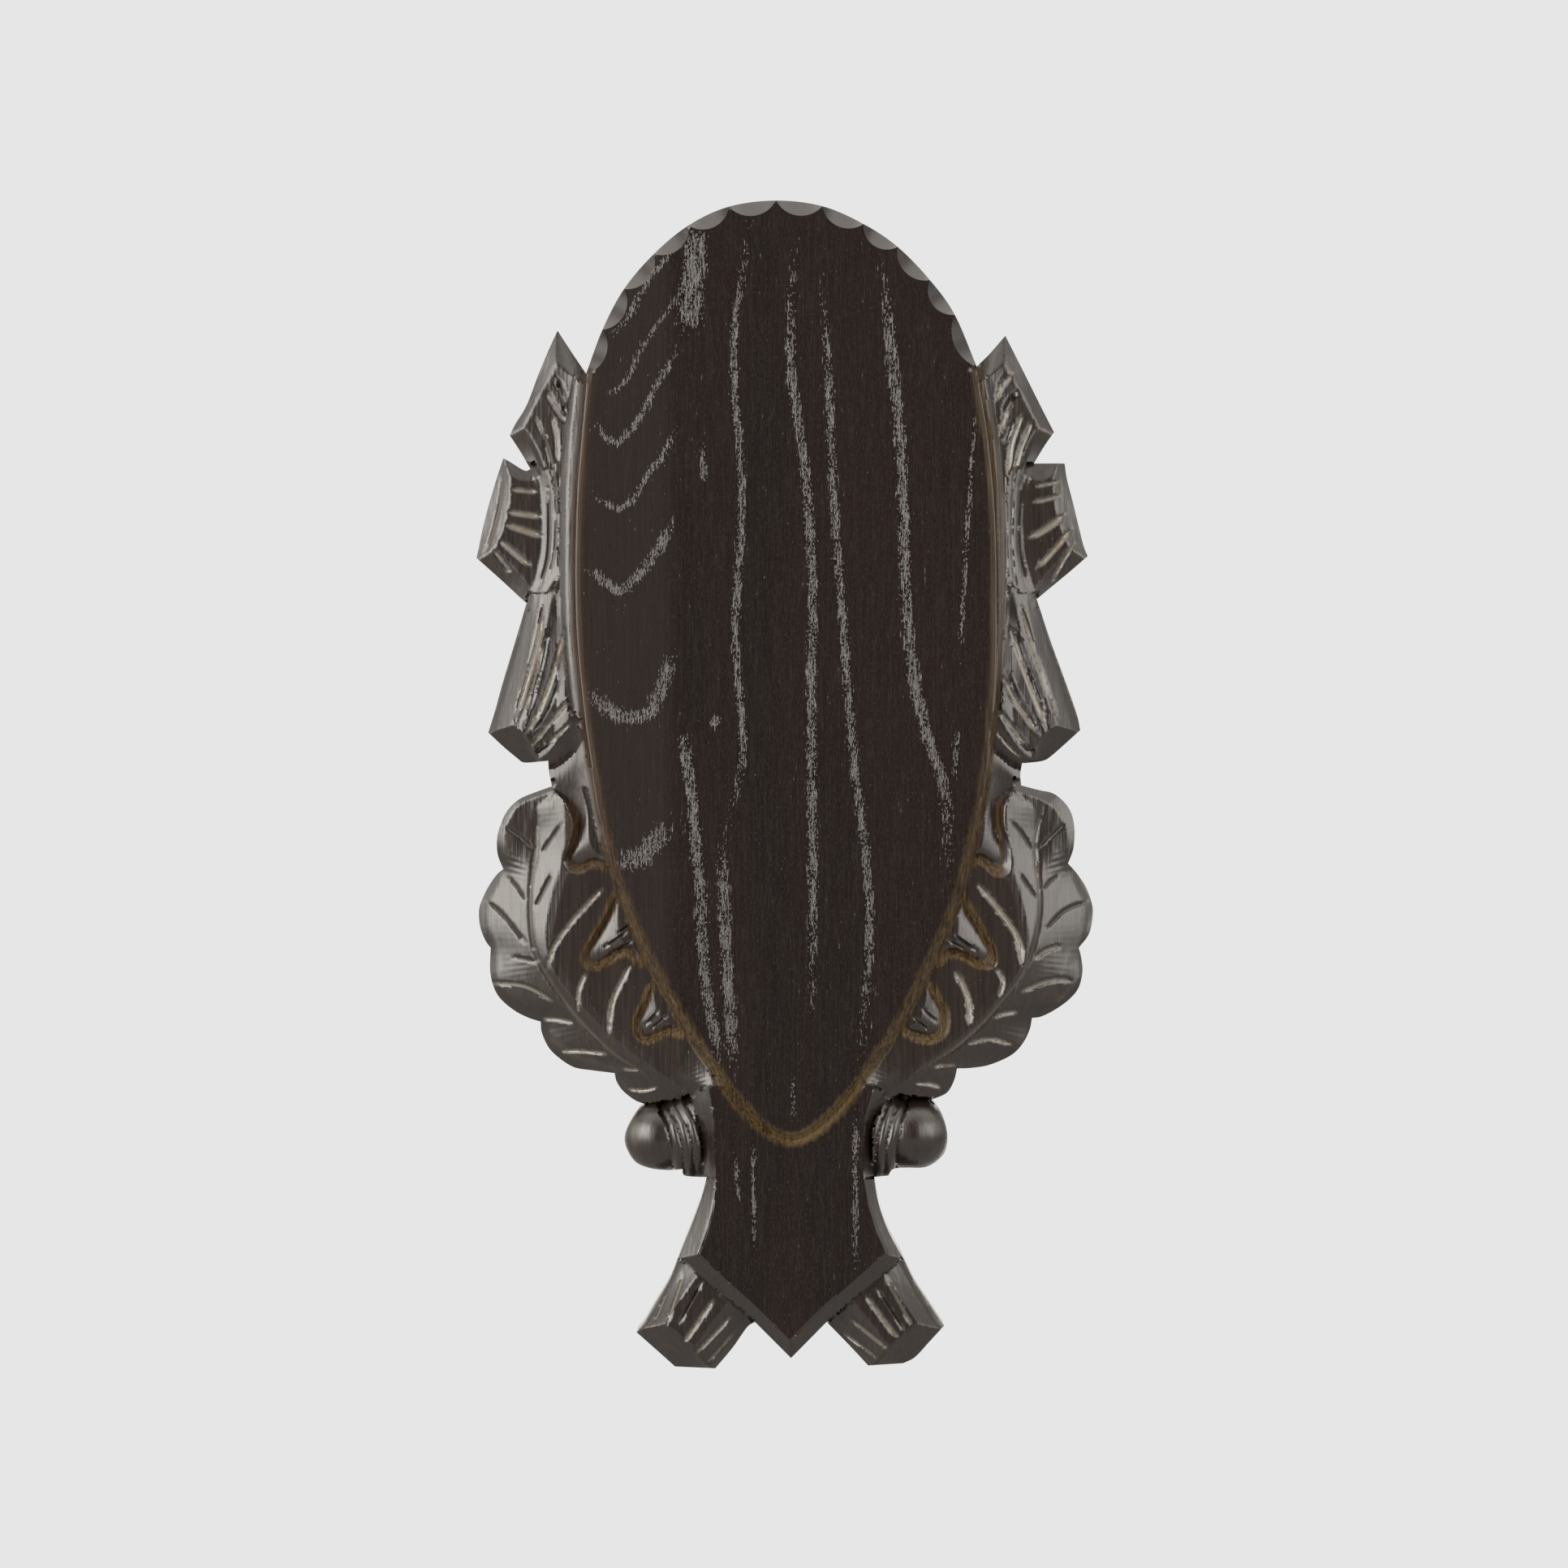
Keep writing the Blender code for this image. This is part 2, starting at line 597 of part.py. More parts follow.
def wood_screw(name, z, plate, wide):
    """Countersunk screw, its countersink in the plate and its pilot hole in the wood."""
    tip = PLATE_SINK + SCREW_LENGTH
    neck = PLATE_SINK + SCREW_HEAD - SCREW_SHANK
    thread = []
    for i in range(THREADS):
        low = neck + 1.2 + (tip - neck - 3.2) * (THREADS - i) / THREADS
        thread += [(SCREW_SHANK, low), (SCREW_SHANK * THREAD_ROOT, low - THREAD_WIDTH)]
    profile = [(0, tip), (SCREW_SHANK * 0.7, tip - 1.6), *thread, (SCREW_SHANK, neck + 0.6)]
    profile += [(SCREW_SHANK, neck), (SCREW_HEAD, PLATE_SINK), (0, PLATE_SINK)]
    screw = turned(f"hanger_screw_{name}", profile, 16, PARTS)
    hole = turned(
        f"screw_hole_{name}",
        [(0, tip + GAP), (SCREW_SHANK + GAP, tip + GAP - 0.5), (SCREW_SHANK + GAP, neck + GAP * 0.5),
         (SCREW_HEAD + GAP + 1.2, PLATE_SINK - 1.2), (0, PLATE_SINK - 1.2)],
        24,
        CUTTERS,
    )
    for obj in (screw, hole):
        obj.rotation_euler = (math.pi / 2, 0, 0)
        obj.location = (0, 0, z * MM)
    for turn in (0, math.pi / 2):
        bar = oblong(CROSS_LENGTH, CROSS_WIDTH)
        arm = sawn(f"cross_{name}_{turn:.0f}", bar, -1, CROSS_DEPTH, CUTTERS)
        place = Matrix.Translation((0, arm.location.y, z * MM))
        upright = arm.rotation_euler.to_matrix().to_4x4()
        arm.matrix_world = place @ upright @ Matrix.Rotation(turn, 4, "Z")
        boolean(screw, "DIFFERENCE", arm)
    boolean(plate, "DIFFERENCE", hole)
    boolean(wide, "DIFFERENCE", hole)
    finish(screw, STEEL)


def main():
    board = panel()
    stave("stave_narrow", board, -1, FOOT_TOP, SPAN)
    stave("stave_narrow_foot", board, -1, -SPAN, FOOT_TOP)
    hanger(stave("stave_wide", board, 1, -SPAN, SPAN))


for old in list(bpy.data.objects):
    bpy.data.objects.remove(old)
PARTS = collection("trophy_plaque")
CUTTERS = collection("cutters")
OAK = principled("stained_oak", (0.045, 0.034, 0.029), 0.42)
STEEL = principled("zinc_plated_steel", (0.56, 0.57, 0.58), 0.35, 1.0)
main()
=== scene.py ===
"""Carved oak trophy plaque: its carved relief, its stained oak and the hanger on its back.

Outlines are (x, z) in millimetres as seen from the front. Rails are (x, z, height), the height
measured from the back towards the front, so that a carved surface is stretched over them.
"""

import math

import bpy
import numpy as np
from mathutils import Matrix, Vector
from mathutils.bvhtree import BVHTree
from mathutils.geometry import delaunay_2d_cdt
from mathutils.kdtree import KDTree

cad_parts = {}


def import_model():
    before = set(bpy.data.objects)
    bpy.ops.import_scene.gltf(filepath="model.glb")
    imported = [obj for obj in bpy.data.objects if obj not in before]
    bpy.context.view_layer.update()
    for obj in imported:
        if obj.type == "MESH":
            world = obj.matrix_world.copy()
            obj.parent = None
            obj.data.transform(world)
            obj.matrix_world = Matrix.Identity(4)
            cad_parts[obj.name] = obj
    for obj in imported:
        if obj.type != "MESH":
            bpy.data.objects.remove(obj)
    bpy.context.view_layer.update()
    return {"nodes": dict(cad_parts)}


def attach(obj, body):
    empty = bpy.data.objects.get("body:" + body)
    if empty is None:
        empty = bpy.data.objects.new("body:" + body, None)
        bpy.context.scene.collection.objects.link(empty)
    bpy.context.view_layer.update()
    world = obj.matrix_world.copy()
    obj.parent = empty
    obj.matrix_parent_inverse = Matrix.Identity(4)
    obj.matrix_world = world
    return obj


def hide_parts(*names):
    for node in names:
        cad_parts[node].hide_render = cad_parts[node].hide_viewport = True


MM = 0.001
THICKNESS = 18.0
GLUE_X = -23.4
GLUE_LEAN = math.tan(math.radians(0.8))
FOOT_TOP = -92.0
AXIS_X = 0.26
AXIS_LEAN = 0.0112

FINE = 0.4
COARSE = 0.75
EDGE_STEP = 0.4
SAMPLES_ACROSS = 72
OVERLAP = 0.08
GROOVE = 1.1
EASE = 0.5
EYE_DISTANCE = 931.0

SCALLOP_BITE = 2.6
SCALLOP_SLOPE = 1.05
V_DEPTH = 0.62
GOLD_REACH = 1.3
LEAST_WOOD = 3.0
SIDE_ROWS = (1.0, 0.66, 0.33, 0.0)

# Hollows in the back for the hanger: half width, half length, depth
HANGER_Z = 70.0
HANGER_HOLLOWS = ((8.3, 22.3, 2.0), (6, 11.5, 7.0))

BACKDROP = 0.79


def level(height, *points):
    """A rail that stays at one height."""
    return tuple((*point, height) for point in points)


# The outline, on from the last cusp of the top edge. Each run is one smooth stretch from the
# end of the run before it.
EDGE = (
    ((-45.2, 92), (-48.4, 96.9)),
    ((-50.2, 93), (-52.5, 87.5), (-55, 81), (-57.5, 76.8), (-58.6, 74.5)),
    ((-56, 70.5), (-54.2, 67.3)),
    ((-55.5, 67), (-58.5, 68.8), (-60, 69.6)),
    ((-61.5, 65), (-63, 60), (-64.3, 55), (-65.7, 48.3)),
    ((-60, 43.2), (-56, 39.5), (-55, 38.7)),
    ((-57, 32), (-58.5, 27), (-60.3, 21), (-61.8, 15.5), (-63.2, 11)),
    ((-60, 8), (-57, 5.5), (-55.6, 4.6), (-52.5, 4.8), (-50.4, 5)),
    ((-50.2, 2.5), (-49.6, -0.5)),
    ((-53, -1.7), (-56.5, -3.2), (-59, -5.5), (-60.5, -8.5), (-61.3, -11.5), (-61.2, -15),
     (-60, -18.2)),
    ((-61.5, -19.5), (-63.5, -22.5), (-65, -26), (-65.2, -28.5), (-64.8, -31), (-63.8, -33.5),
     (-62.7, -35)),
    ((-62.8, -40), (-62, -43.5), (-60.5, -46), (-57.5, -48.5), (-54.5, -50), (-52, -50.8)),
    ((-51.8, -53), (-50.5, -56), (-48.5, -58.2), (-45, -60.5), (-41, -61.2), (-36.2, -61.8)),
    ((-35.8, -63.5), (-34.5, -65.5), (-32, -67.5), (-29.8, -68.4)),
    ((-31.5, -70), (-33.7, -74), (-33.9, -77), (-32, -80.5), (-29, -82), (-25, -82.5),
     (-21.7, -82.3)),
    ((-21.2, -83.7), (-17.5, -84), (-16.5, -84)),
    ((-17.5, -88), (-19.3, -93), (-21.3, -98), (-22.6, -101.3)),
    ((-24.5, -106), (-27.5, -111), (-29.8, -115), (-31.5, -117.2)),
    ((-28, -120.3), (-23.3, -124.5)),
    ((-14.7, -124.9),),
    ((-11, -120.5), (-7.8, -116), (-6.1, -115.1)),
    ((1.5, -122.7),),
    ((9, -115.1),),
    ((9.4, -115.3), (14, -120), (18, -124.3)),
    ((25.5, -123.8),),
    ((28, -122.5), (31, -119.3), (34.2, -115.8)),
    ((33.3, -114.5), (31, -111), (28, -106.5), (25.6, -101.6)),
    ((22.5, -96), (20.3, -90), (19.3, -84)),
    ((22.3, -83.7),),
    ((23.3, -82.3), (26, -82), (30.5, -81.8), (33.8, -79.5), (34.8, -77), (34.8, -74), (33.5, -70),
     (31.5, -67.5)),
    ((32, -67.3), (34.8, -66), (36.3, -63.5), (37, -60.8)),
    ((40, -60.7), (44, -60), (48.5, -58), (51, -55.5), (52.5, -52.5), (53, -50)),
    ((55, -49.7), (58, -48.2), (61, -46), (63, -43.5), (63.8, -40), (63.5, -37), (63, -35)),
    ((65.2, -32), (66, -28), (65.8, -25.5), (64.5, -22), (62.5, -19), (60.7, -17)),
    ((61.8, -14), (62.1, -10), (61.5, -6.5), (60, -4), (57.5, -2), (54.5, -1.3), (50.7, -0.3)),
    ((50.5, 2), (50.9, 4.5)),
    ((51.8, 4.5), (55.5, 5), (57.5, 6.3), (60, 8.5), (63.3, 11.5)),
    ((62.7, 14.5), (61, 19.5), (59, 25), (57, 30.5), (55.5, 35), (54, 39.5)),
    ((57, 42), (61, 45.3), (64.9, 48.7)),
    ((64, 51), (63, 55), (61.8, 60), (60.5, 65), (60, 68.3)),
    ((59.5, 68.5), (53.4, 68.5)),
    ((55.5, 72), (57.7, 75.2)),
    ((55.5, 79.5), (53, 84.5), (50, 90.5), (47.3, 95.8)),
    ((44, 92), (42, 90), (41.2, 89.2)),
)
TOP_CUSPS = (
    (41.2, 89.2), (36.5, 100.3), (31.2, 107.7), (24.3, 114.8), (17, 119.7), (8.2, 123.5),
    (-1.7, 124.7), (-11.8, 123.4), (-20.4, 119.4), (-27.8, 113.3), (-34.2, 105.8),
    (-38.8, 97.1), (-42.3, 87.7),
)

# The groove that frames the oval field, down the left side, round the point and up the right
OVAL = (
    (-42, 88.5), (-42.7, 80), (-43.6, 70), (-44.2, 62), (-44.5, 52), (-44.6, 44), (-44.4, 35),
    (-43.9, 27), (-43.2, 20), (-42.3, 12), (-41.1, 4), (-39.8, -4), (-37.9, -13), (-35.5, -21),
    (-32.9, -28), (-30.1, -35), (-26.9, -41.5), (-22.9, -48.5), (-19.3, -54.5), (-15.2, -60.6),
    (-11.1, -66.3), (-6.5, -71.6), (-2.6, -74.7), (1.6, -76), (5.5, -74.8), (9.6, -71.6),
    (13.8, -67), (18.3, -60.9), (22.4, -54.8), (26.4, -48.3), (29.9, -41.4), (33.2, -34.4),
    (36.2, -27.2), (38.8, -19.2), (40.8, -11.1), (42.4, -3), (43.5, 5), (44.3, 12), (45, 20),
    (45.4, 30), (45.4, 40), (45.3, 50), (44.9, 60), (44.2, 68), (43.3, 76), (42.1, 83),
    (41.2, 88.5),
)
TRUNK = (
    (19.3, -64.5), (17.3, -71), (16.8, -78), (17, -84), (18, -90), (19.8, -96), (21.7, -100.2),
    (9, -111.4), (1.3, -118.9), (-6, -111.6), (-18.3, -100.6), (-17.2, -98.5), (-15.3, -92),
    (-14.6, -86), (-14.6, -79), (-15, -72), (-16, -65),
)

BRANCH_STRIP = (
    level(17.5, (-41.6, 90), (-42.9, 80), (-43.9, 66), (-44.2, 52), (-44.1, 38), (-43.5, 26),
                (-42.7, 16), (-41.3, 4)),
    ((-43.8, 90.5, 17), (-45.1, 80, 17), (-46.2, 66, 17), (-46.5, 52, 17), (-46.4, 38, 17),
     (-45.8, 26, 17), (-45, 16, 16.6), (-43.8, 9, 16)),
    ((-44.6, 91, 15.8), (-46.4, 80, 15.6), (-47.6, 68, 15.5), (-48, 56, 15.5), (-48, 46, 15.5),
     (-47.8, 36, 15.4), (-47, 26, 15.2), (-46, 16, 14.6)),
)
UPPER_STUB = (
    (
        ((-47.4, 98.6, 11.8), (-51.4, 92.8, 12), (-56, 82, 12), (-60.8, 72.8, 11.8)),
        ((-46.8, 95, 14.3), (-49.8, 88, 14.4), (-52.2, 83.6, 14.4), (-55.6, 76.5, 14.4),
         (-58, 71.8, 14.2)),
    ),
    (
        ((-47.6, 94, 14.3), (-50.4, 88, 14.4), (-53, 82, 14.4), (-56.8, 74, 14.4)),
        ((-44.6, 91, 15.4), (-46.4, 80, 15.2), (-47.4, 70, 15.2), (-48, 60, 15.2)),
    ),
    (
        level(12, (-41.8, 88.4), (-44.6, 92.2), (-48.6, 97.5)),
        ((-42.2, 85, 15.2), (-45.8, 88, 15), (-49.6, 90, 14.6)),
    ),
    (
        ((-55, 77.7, 14.8), (-52.3, 72.4, 15.4), (-50.2, 66.9, 15.8), (-48.9, 60.5, 16),
         (-48.4, 54, 15.8)),
        ((-56, 76.2, 14.3), (-53.8, 71.3, 13.6), (-51.8, 66.3, 13.9), (-50.2, 60.3, 14.2),
         (-49.5, 54, 14.4)),
        ((-60, 74, 11.9), (-55.9, 68.8, 12.2), (-54, 65.8, 12.9), (-52.4, 60, 13.4),
         (-51.6, 54, 13.6)),
    ),
)
MIDDLE_STUB = (
    (
        ((-61.4, 71.5, 9.6), (-63.8, 62.5, 9.4), (-65.6, 54.6, 9.4), (-68, 46, 9.6)),
        ((-58.6, 70.5, 13), (-58.5, 64, 13.1), (-58.9, 59, 13.1), (-60.2, 54, 13.1),
         (-61.8, 50.5, 13), (-65, 44.5, 12.6)),
        ((-53.5, 68.5, 13.3), (-52.1, 64, 13.3), (-51.7, 58, 13.3), (-51.8, 51, 13.3),
         (-52.9, 45, 13.3), (-55, 38, 13)),
        ((-50.9, 67.5, 14.5), (-49.6, 62, 14.6), (-49.1, 56, 14.6), (-49.2, 50, 14.6),
         (-50.3, 44.5, 14.6), (-53.5, 38, 14.2)),
        ((-48.2, 67.5, 15.4), (-48, 61, 15.4), (-48, 55, 15.4), (-48, 50, 15.4),
         (-48.6, 44.8, 15.3), (-52.6, 38.5, 14.6)),
    ),
    (
        ((-61.5, 71.3, 11.3), (-57, 69, 11.5), (-53, 68.6, 11.8)),
        ((-59.4, 65.4, 13.4), (-55.4, 63.8, 13.5), (-51.6, 64.6, 14)),
    ),
    (
        ((-67, 46.8, 10.4), (-60.4, 42, 10.8), (-54.6, 36.8, 12.2)),
        ((-63.6, 51.4, 12.9), (-58.4, 47.2, 13.2), (-53.2, 43, 13.6)),
    ),
)
LOWER_STUB = (
    (
        ((-54.4, 41, 12.4), (-57.6, 32, 9.6), (-61.2, 21, 9), (-64.4, 9.5, 9)),
        ((-53.6, 41, 13.2), (-56, 32, 12), (-59, 21, 12), (-62, 9.5, 12)),
        ((-51.6, 41, 14.4), (-53.4, 32, 14.2), (-55.7, 22, 14.4), (-58.9, 9.5, 14.4)),
        ((-49.4, 41, 15.1), (-50.9, 31, 15), (-53.2, 20, 15), (-56, 8, 15)),
        ((-48.4, 41, 15.3), (-48.6, 30, 14.3), (-48.6, 20, 14.1), (-49.6, 7, 14)),
        ((-47.7, 40, 15.5), (-47.4, 32, 15.4), (-46.6, 22, 15.2), (-45, 11, 15.2)),
    ),
    (
        ((-65, 10.4, 8.6), (-60.6, 6, 8.6), (-56.8, 3.4, 8.8), (-50.6, 2.4, 9.2)),
        ((-64, 13.6, 13.2), (-60.6, 13.3, 14), (-57.4, 11.8, 14.4), (-54.8, 9.3, 14.4),
         (-52.4, 5.4, 13.8)),
    ),
    (
        ((-53.4, 2.8, 11.6), (-48.8, 3.8, 12.2), (-45, 7, 13.2), (-42.8, 10, 14.6)),
        ((-53.2, 6.8, 13.6), (-50.6, 8.2, 14.4), (-47.6, 11.4, 14.8), (-45, 15.6, 15.2)),
    ),
)
# The bark runs on above the leaf's wall, and these points lead down to it on each side
LEFT_BARK_END = ((-52.6, 7, 12.8), (-51.6, 1.4, 13))
RIGHT_BARK_END = ((53.2, 7, 12.8), (52.2, 1.4, 13))
LEAF_BODY = (
    ((-48.8, 1.2, 12.8), (-54, -0.4, 11.4), (-58, -2.6, 11.6), (-61.2, -6.6, 11.2),
     (-62.6, -12, 10.8), (-62.2, -18, 8.8), (-66, -25, 7.4), (-66.4, -30, 7.4), (-64, -36, 7.6),
     (-64, -43, 7.4), (-59, -49.4, 7.6), (-53.4, -52.6, 7.8), (-51.4, -58, 7.6), (-45, -62, 7.6),
     (-37.4, -63.6, 8), (-34, -68.4, 8), (-28.6, -70.8, 8.4)),
    ((-48.8, -1.4, 14.2), (-54, -3.2, 13.2), (-57.4, -5.4, 12.8), (-59.4, -9, 12.4),
     (-60, -14, 12), (-60, -19, 10.6), (-62.8, -26, 9.6), (-62.8, -30.6, 9.7), (-61.2, -36, 10),
     (-61, -42, 10), (-57, -47.4, 10.2), (-51.2, -50.6, 10.4), (-48.8, -56.4, 10.4),
     (-43.6, -59.4, 10.6), (-35.8, -61.6, 11), (-32.4, -65.6, 11.2), (-27.4, -69.2, 11.6)),
    ((-49.4, -2.4, 14), (-52.8, -5, 13.3), (-52.8, -10, 12.9), (-53, -15, 12.9), (-54, -20, 13.3),
     (-54.4, -25, 13.5), (-54.1, -32, 13.8), (-53, -36.5, 14), (-51, -40.5, 14.1),
     (-48, -45, 14.2), (-44.5, -49.5, 14.2), (-40, -54.3, 14.2), (-36, -57.9, 14.2),
     (-31, -61.1, 14.2), (-26.6, -64, 14), (-22.4, -67.6, 13)),
    ((-46.9, -0.5, 15.4), (-47, -6, 15.4), (-46.9, -12, 15.4), (-47.6, -17, 15.3),
     (-49.8, -24, 15.2), (-51.2, -32, 15.2), (-49.8, -39, 15.2), (-45.8, -45, 15.1),
     (-39, -52, 15), (-31, -58.8, 15), (-24.5, -63.4, 15), (-20, -67, 14.4)),
    ((-45, -0.8, 15.6), (-45, -6.2, 15.6), (-44.8, -12.2, 15.6), (-45.6, -17.4, 15.55),
     (-47.8, -24.8, 15.45), (-49.2, -32.4, 15.4), (-48, -38.2, 15.4), (-44.2, -43.8, 15.3),
     (-37.6, -50.6, 15.2), (-29.8, -57.4, 15.2), (-23.4, -61.6, 15.2), (-18.6, -65.4, 14.8)),
    ((-42.5, -1, 15), (-40.5, -10, 15), (-37.6, -20, 15.2), (-33, -31, 15.2), (-27, -43, 15.2),
     (-20.5, -54, 15.4), (-16.6, -60.4, 16), (-15.2, -65, 17.2)),
)
LOG_STUB = (
    (
        level(8, (-23.8, -100.4), (-28.8, -111), (-34.4, -119.5)),
        level(11.6, (-21.6, -102.1), (-26.9, -111.6), (-32, -119)),
        ((-18.4, -104.8, 14.4), (-23.6, -112.4, 14.6), (-28.4, -120, 14.6)),
        level(14.8, (-11.8, -110.3), (-17.2, -117.4), (-21.6, -124)),
        ((-8.5, -113.1, 13.4), (-12.8, -119.2, 13.2), (-17, -126.4, 13.2)),
        level(10, (-5.7, -115.5), (-11, -121.5), (-15, -127.5)),
    ),
    (
        level(8.2, (-33.6, -118.2), (-28.4, -122.4), (-23.6, -126.8), (-13, -127.4)),
        ((-31.4, -114.4, 12.6), (-29.2, -114.2, 14), (-24.6, -116, 14.8), (-20.5, -119.5, 14.8),
         (-17.6, -122.4, 14.4), (-13.4, -126.6, 13)),
    ),
)
TRUNK_BEVEL = (
    level(14, (-17.6, -78), (-17.4, -84), (-18.4, -88), (-20.4, -93), (-22.6, -98),
              (-24.6, -102.4)),
    level(18.2, (-14.6, -76), (-14.5, -84), (-15, -90), (-16.8, -97), (-18.7, -102)),
)
ARROW_BEVEL = (
    level(14.6, (-25, -100.3), (-16.2, -107.8), (-6.6, -116), (1.5, -124.2)),
    level(18.1, (-19.4, -99.6), (-12.2, -105.8), (-4.6, -112.7), (1.4, -118.6)),
)
BARK_SIDE = (
    ((-22, -63.2, 15), (-20.8, -68, 14), (-18.8, -73, 13.6), (-17.9, -78, 13.4),
     (-17.5, -84.4, 13.8)),
    ((-18.2, -62.2, 16.4), (-17.6, -68, 16), (-16.4, -74, 15.8), (-15.9, -80, 15.6),
     (-15.8, -84.4, 16)),
    ((-15.6, -60.4, 17.8), (-15.6, -68, 17.8), (-14.9, -73, 17.8), (-14.6, -80, 17.8),
     (-14.4, -84.4, 18)),
)

BARK_SIDE_RIGHT = (
    ((23.4, -65, 15), (20.4, -70, 13.8), (19, -74, 13.4), (18.6, -80, 13.4), (18.9, -84.2, 13.6)),
    level(18, (19.6, -64.2), (17.4, -71), (16.8, -78), (16.8, -84.2)),
)

# The acorns: the bed that they lie in, the edge between nut and cup, and their rounded forms
LEFT_ACORN = (
    ((-36, -68.4), (-29.8, -68.5), (-26, -68.1), (-22.2, -67.4), (-20.4, -66.4), (-19.4, -69.6),
     (-18.4, -73.6), (-17.8, -78), (-17.6, -81), (-17.5, -86), (-36, -86)),
    ((-28, -66), (-27.4, -68.7), (-25.2, -72.6), (-24.1, -77), (-23.2, -83.5)),
    (-26.6, -75.4, 8, 7.7),
    (-20, -75.2, 9, 9.4),
)
RIGHT_ACORN = (
    ((37, -66.8), (31.5, -67.4), (27.4, -67), (24.6, -66.6), (21.6, -68.4), (19.7, -71.4),
     (18.8, -75), (19, -80), (19.4, -83.9), (37, -86)),
    ((27.8, -65.4), (26.8, -67.7), (25.2, -72), (24.1, -77), (23.5, -84)),
    (27.6, -74.8, 7.9, 7.7),
    (20.8, -75, 9, 9.2),
)
ACORN_BED = 8.0
NUT_RISE = 7.0
CUP_RISE = 7.8
CUP_RING = 2.2

# Walls of the hollows between leaf and groove: the floor's edge, then the wall's top
LEFT_WALLS = (
    (
        ((-49.8, -0.6, 13.5), (-46.6, -3, 13.5), (-44.7, -6, 13.5), (-43.8, -9, 13.5),
         (-44.6, -12.6, 13.4), (-45.8, -15.4, 13.3), (-45.2, -16.6, 13.3), (-43.4, -17.2, 13.4),
         (-41, -16.3, 13.8), (-38.4, -16.8, 14.6)),
        ((-49.6, -1.3, 15.3), (-46.9, -3.8, 15.3), (-45.5, -6.4, 15.3), (-44.8, -9, 15.3),
         (-45.6, -12.4, 15.3), (-47, -16, 15.3), (-45.8, -18.3, 15.3), (-43.4, -18.9, 15.3),
         (-41, -17.9, 15.3), (-37.8, -18.7, 15.4)),
    ),
    (
        ((-36, -24.2, 14.8), (-37.4, -28, 14), (-39.8, -32.4, 13.6), (-41.7, -36, 13.4),
         (-41.2, -37.9, 13.3), (-39.5, -37.9, 13.3), (-37, -36.4, 13.4), (-34.8, -35, 13.7),
         (-32.8, -35.4, 14.2), (-31.6, -37, 14.8)),
        level(15.4, (-36.3, -23.4), (-38.2, -28), (-40.8, -32.4), (-43, -36.6), (-42.6, -39.2),
                    (-40, -40), (-37.4, -38.6), (-34.9, -37), (-32.6, -37.6), (-30.4, -39.6)),
    ),
    (
        ((-28.4, -44.2, 14.8), (-29.6, -47.6, 14), (-31, -51, 13.5), (-30.2, -53.2, 13.4),
         (-28.8, -53.8, 13.4), (-26.8, -53, 13.5), (-24.6, -52, 14), (-22.8, -52.4, 14.8)),
        level(15.4, (-28.8, -43.4), (-30.6, -47.4), (-32.2, -51.2), (-31.4, -54.4), (-29, -55.4),
                    (-26.8, -54.4), (-24.4, -53.5), (-21.4, -54.6)),
    ),
)
LEFT_FLOORS = (
    level(16.2, (-43.3, 14), (-42.3, 6), (-41.2, -2), (-39.8, -9), (-37.2, -17.4)),
    level(16, (-35.3, -24), (-33.6, -28.6), (-31.8, -33), (-30, -37.6)),
    level(16, (-27.6, -44), (-26, -47), (-24, -50), (-22, -53)),
)
RIGHT_WALLS = (
    (
        ((50.9, -0.4, 13.5), (47.6, -1.4, 13.5), (45.4, -4.8, 13.5), (45.4, -10, 13.4),
         (46.4, -14.6, 13.3), (45.6, -16.9, 13.3), (43.8, -16.2, 13.4), (42, -15.3, 13.8),
         (39.6, -15.8, 14.6)),
        level(15.3, (51, -1.3), (48.4, -2.6), (46.9, -5.4), (47.1, -9.4), (48.4, -13),
                    (48.9, -16.8), (47.6, -19.4), (45, -19.6), (42.8, -17.6), (41.4, -17.2),
                    (39.4, -18.4)),
    ),
    (
        ((37.6, -24.4, 14.8), (39.4, -28, 13.9), (42.3, -33, 13.4), (43.6, -36, 13.3),
         (42.6, -37.6, 13.3), (40.6, -37.2, 13.3), (37.8, -35.8, 13.4), (35.6, -35.6, 13.8),
         (33.6, -36.8, 14.8)),
        level(15.4, (38.2, -23), (40.9, -27.8), (44, -32.8), (45.6, -36.6), (45, -39.4),
                    (42.4, -39.6), (39.8, -38), (37.4, -37), (34.6, -37.6), (32.6, -39.4)),
    ),
    (
        ((31, -44, 14.8), (32.4, -46.8, 14), (33.4, -49, 13.5), (33.2, -52.4, 13.4),
         (31, -53.6, 13.4), (28.6, -53.3, 13.7), (26.6, -52.4, 14.5)),
        level(15.4, (31.8, -42.8), (33.8, -46.2), (35.3, -48.8), (35.3, -52.2), (33.7, -54.8),
                    (31, -55.7), (28.2, -55.2), (25.4, -53.8)),
    ),
)
RIGHT_FLOORS = (
    level(16.2, (44.2, 14), (43.6, 6), (42.4, -2), (40.9, -9), (38.8, -17.4)),
    level(16, (36.8, -24.2), (35.5, -28.6), (33.8, -32.8), (32.3, -37)),
    level(16, (30.1, -44), (28.6, -47), (27, -50), (25.4, -52.6)),
)

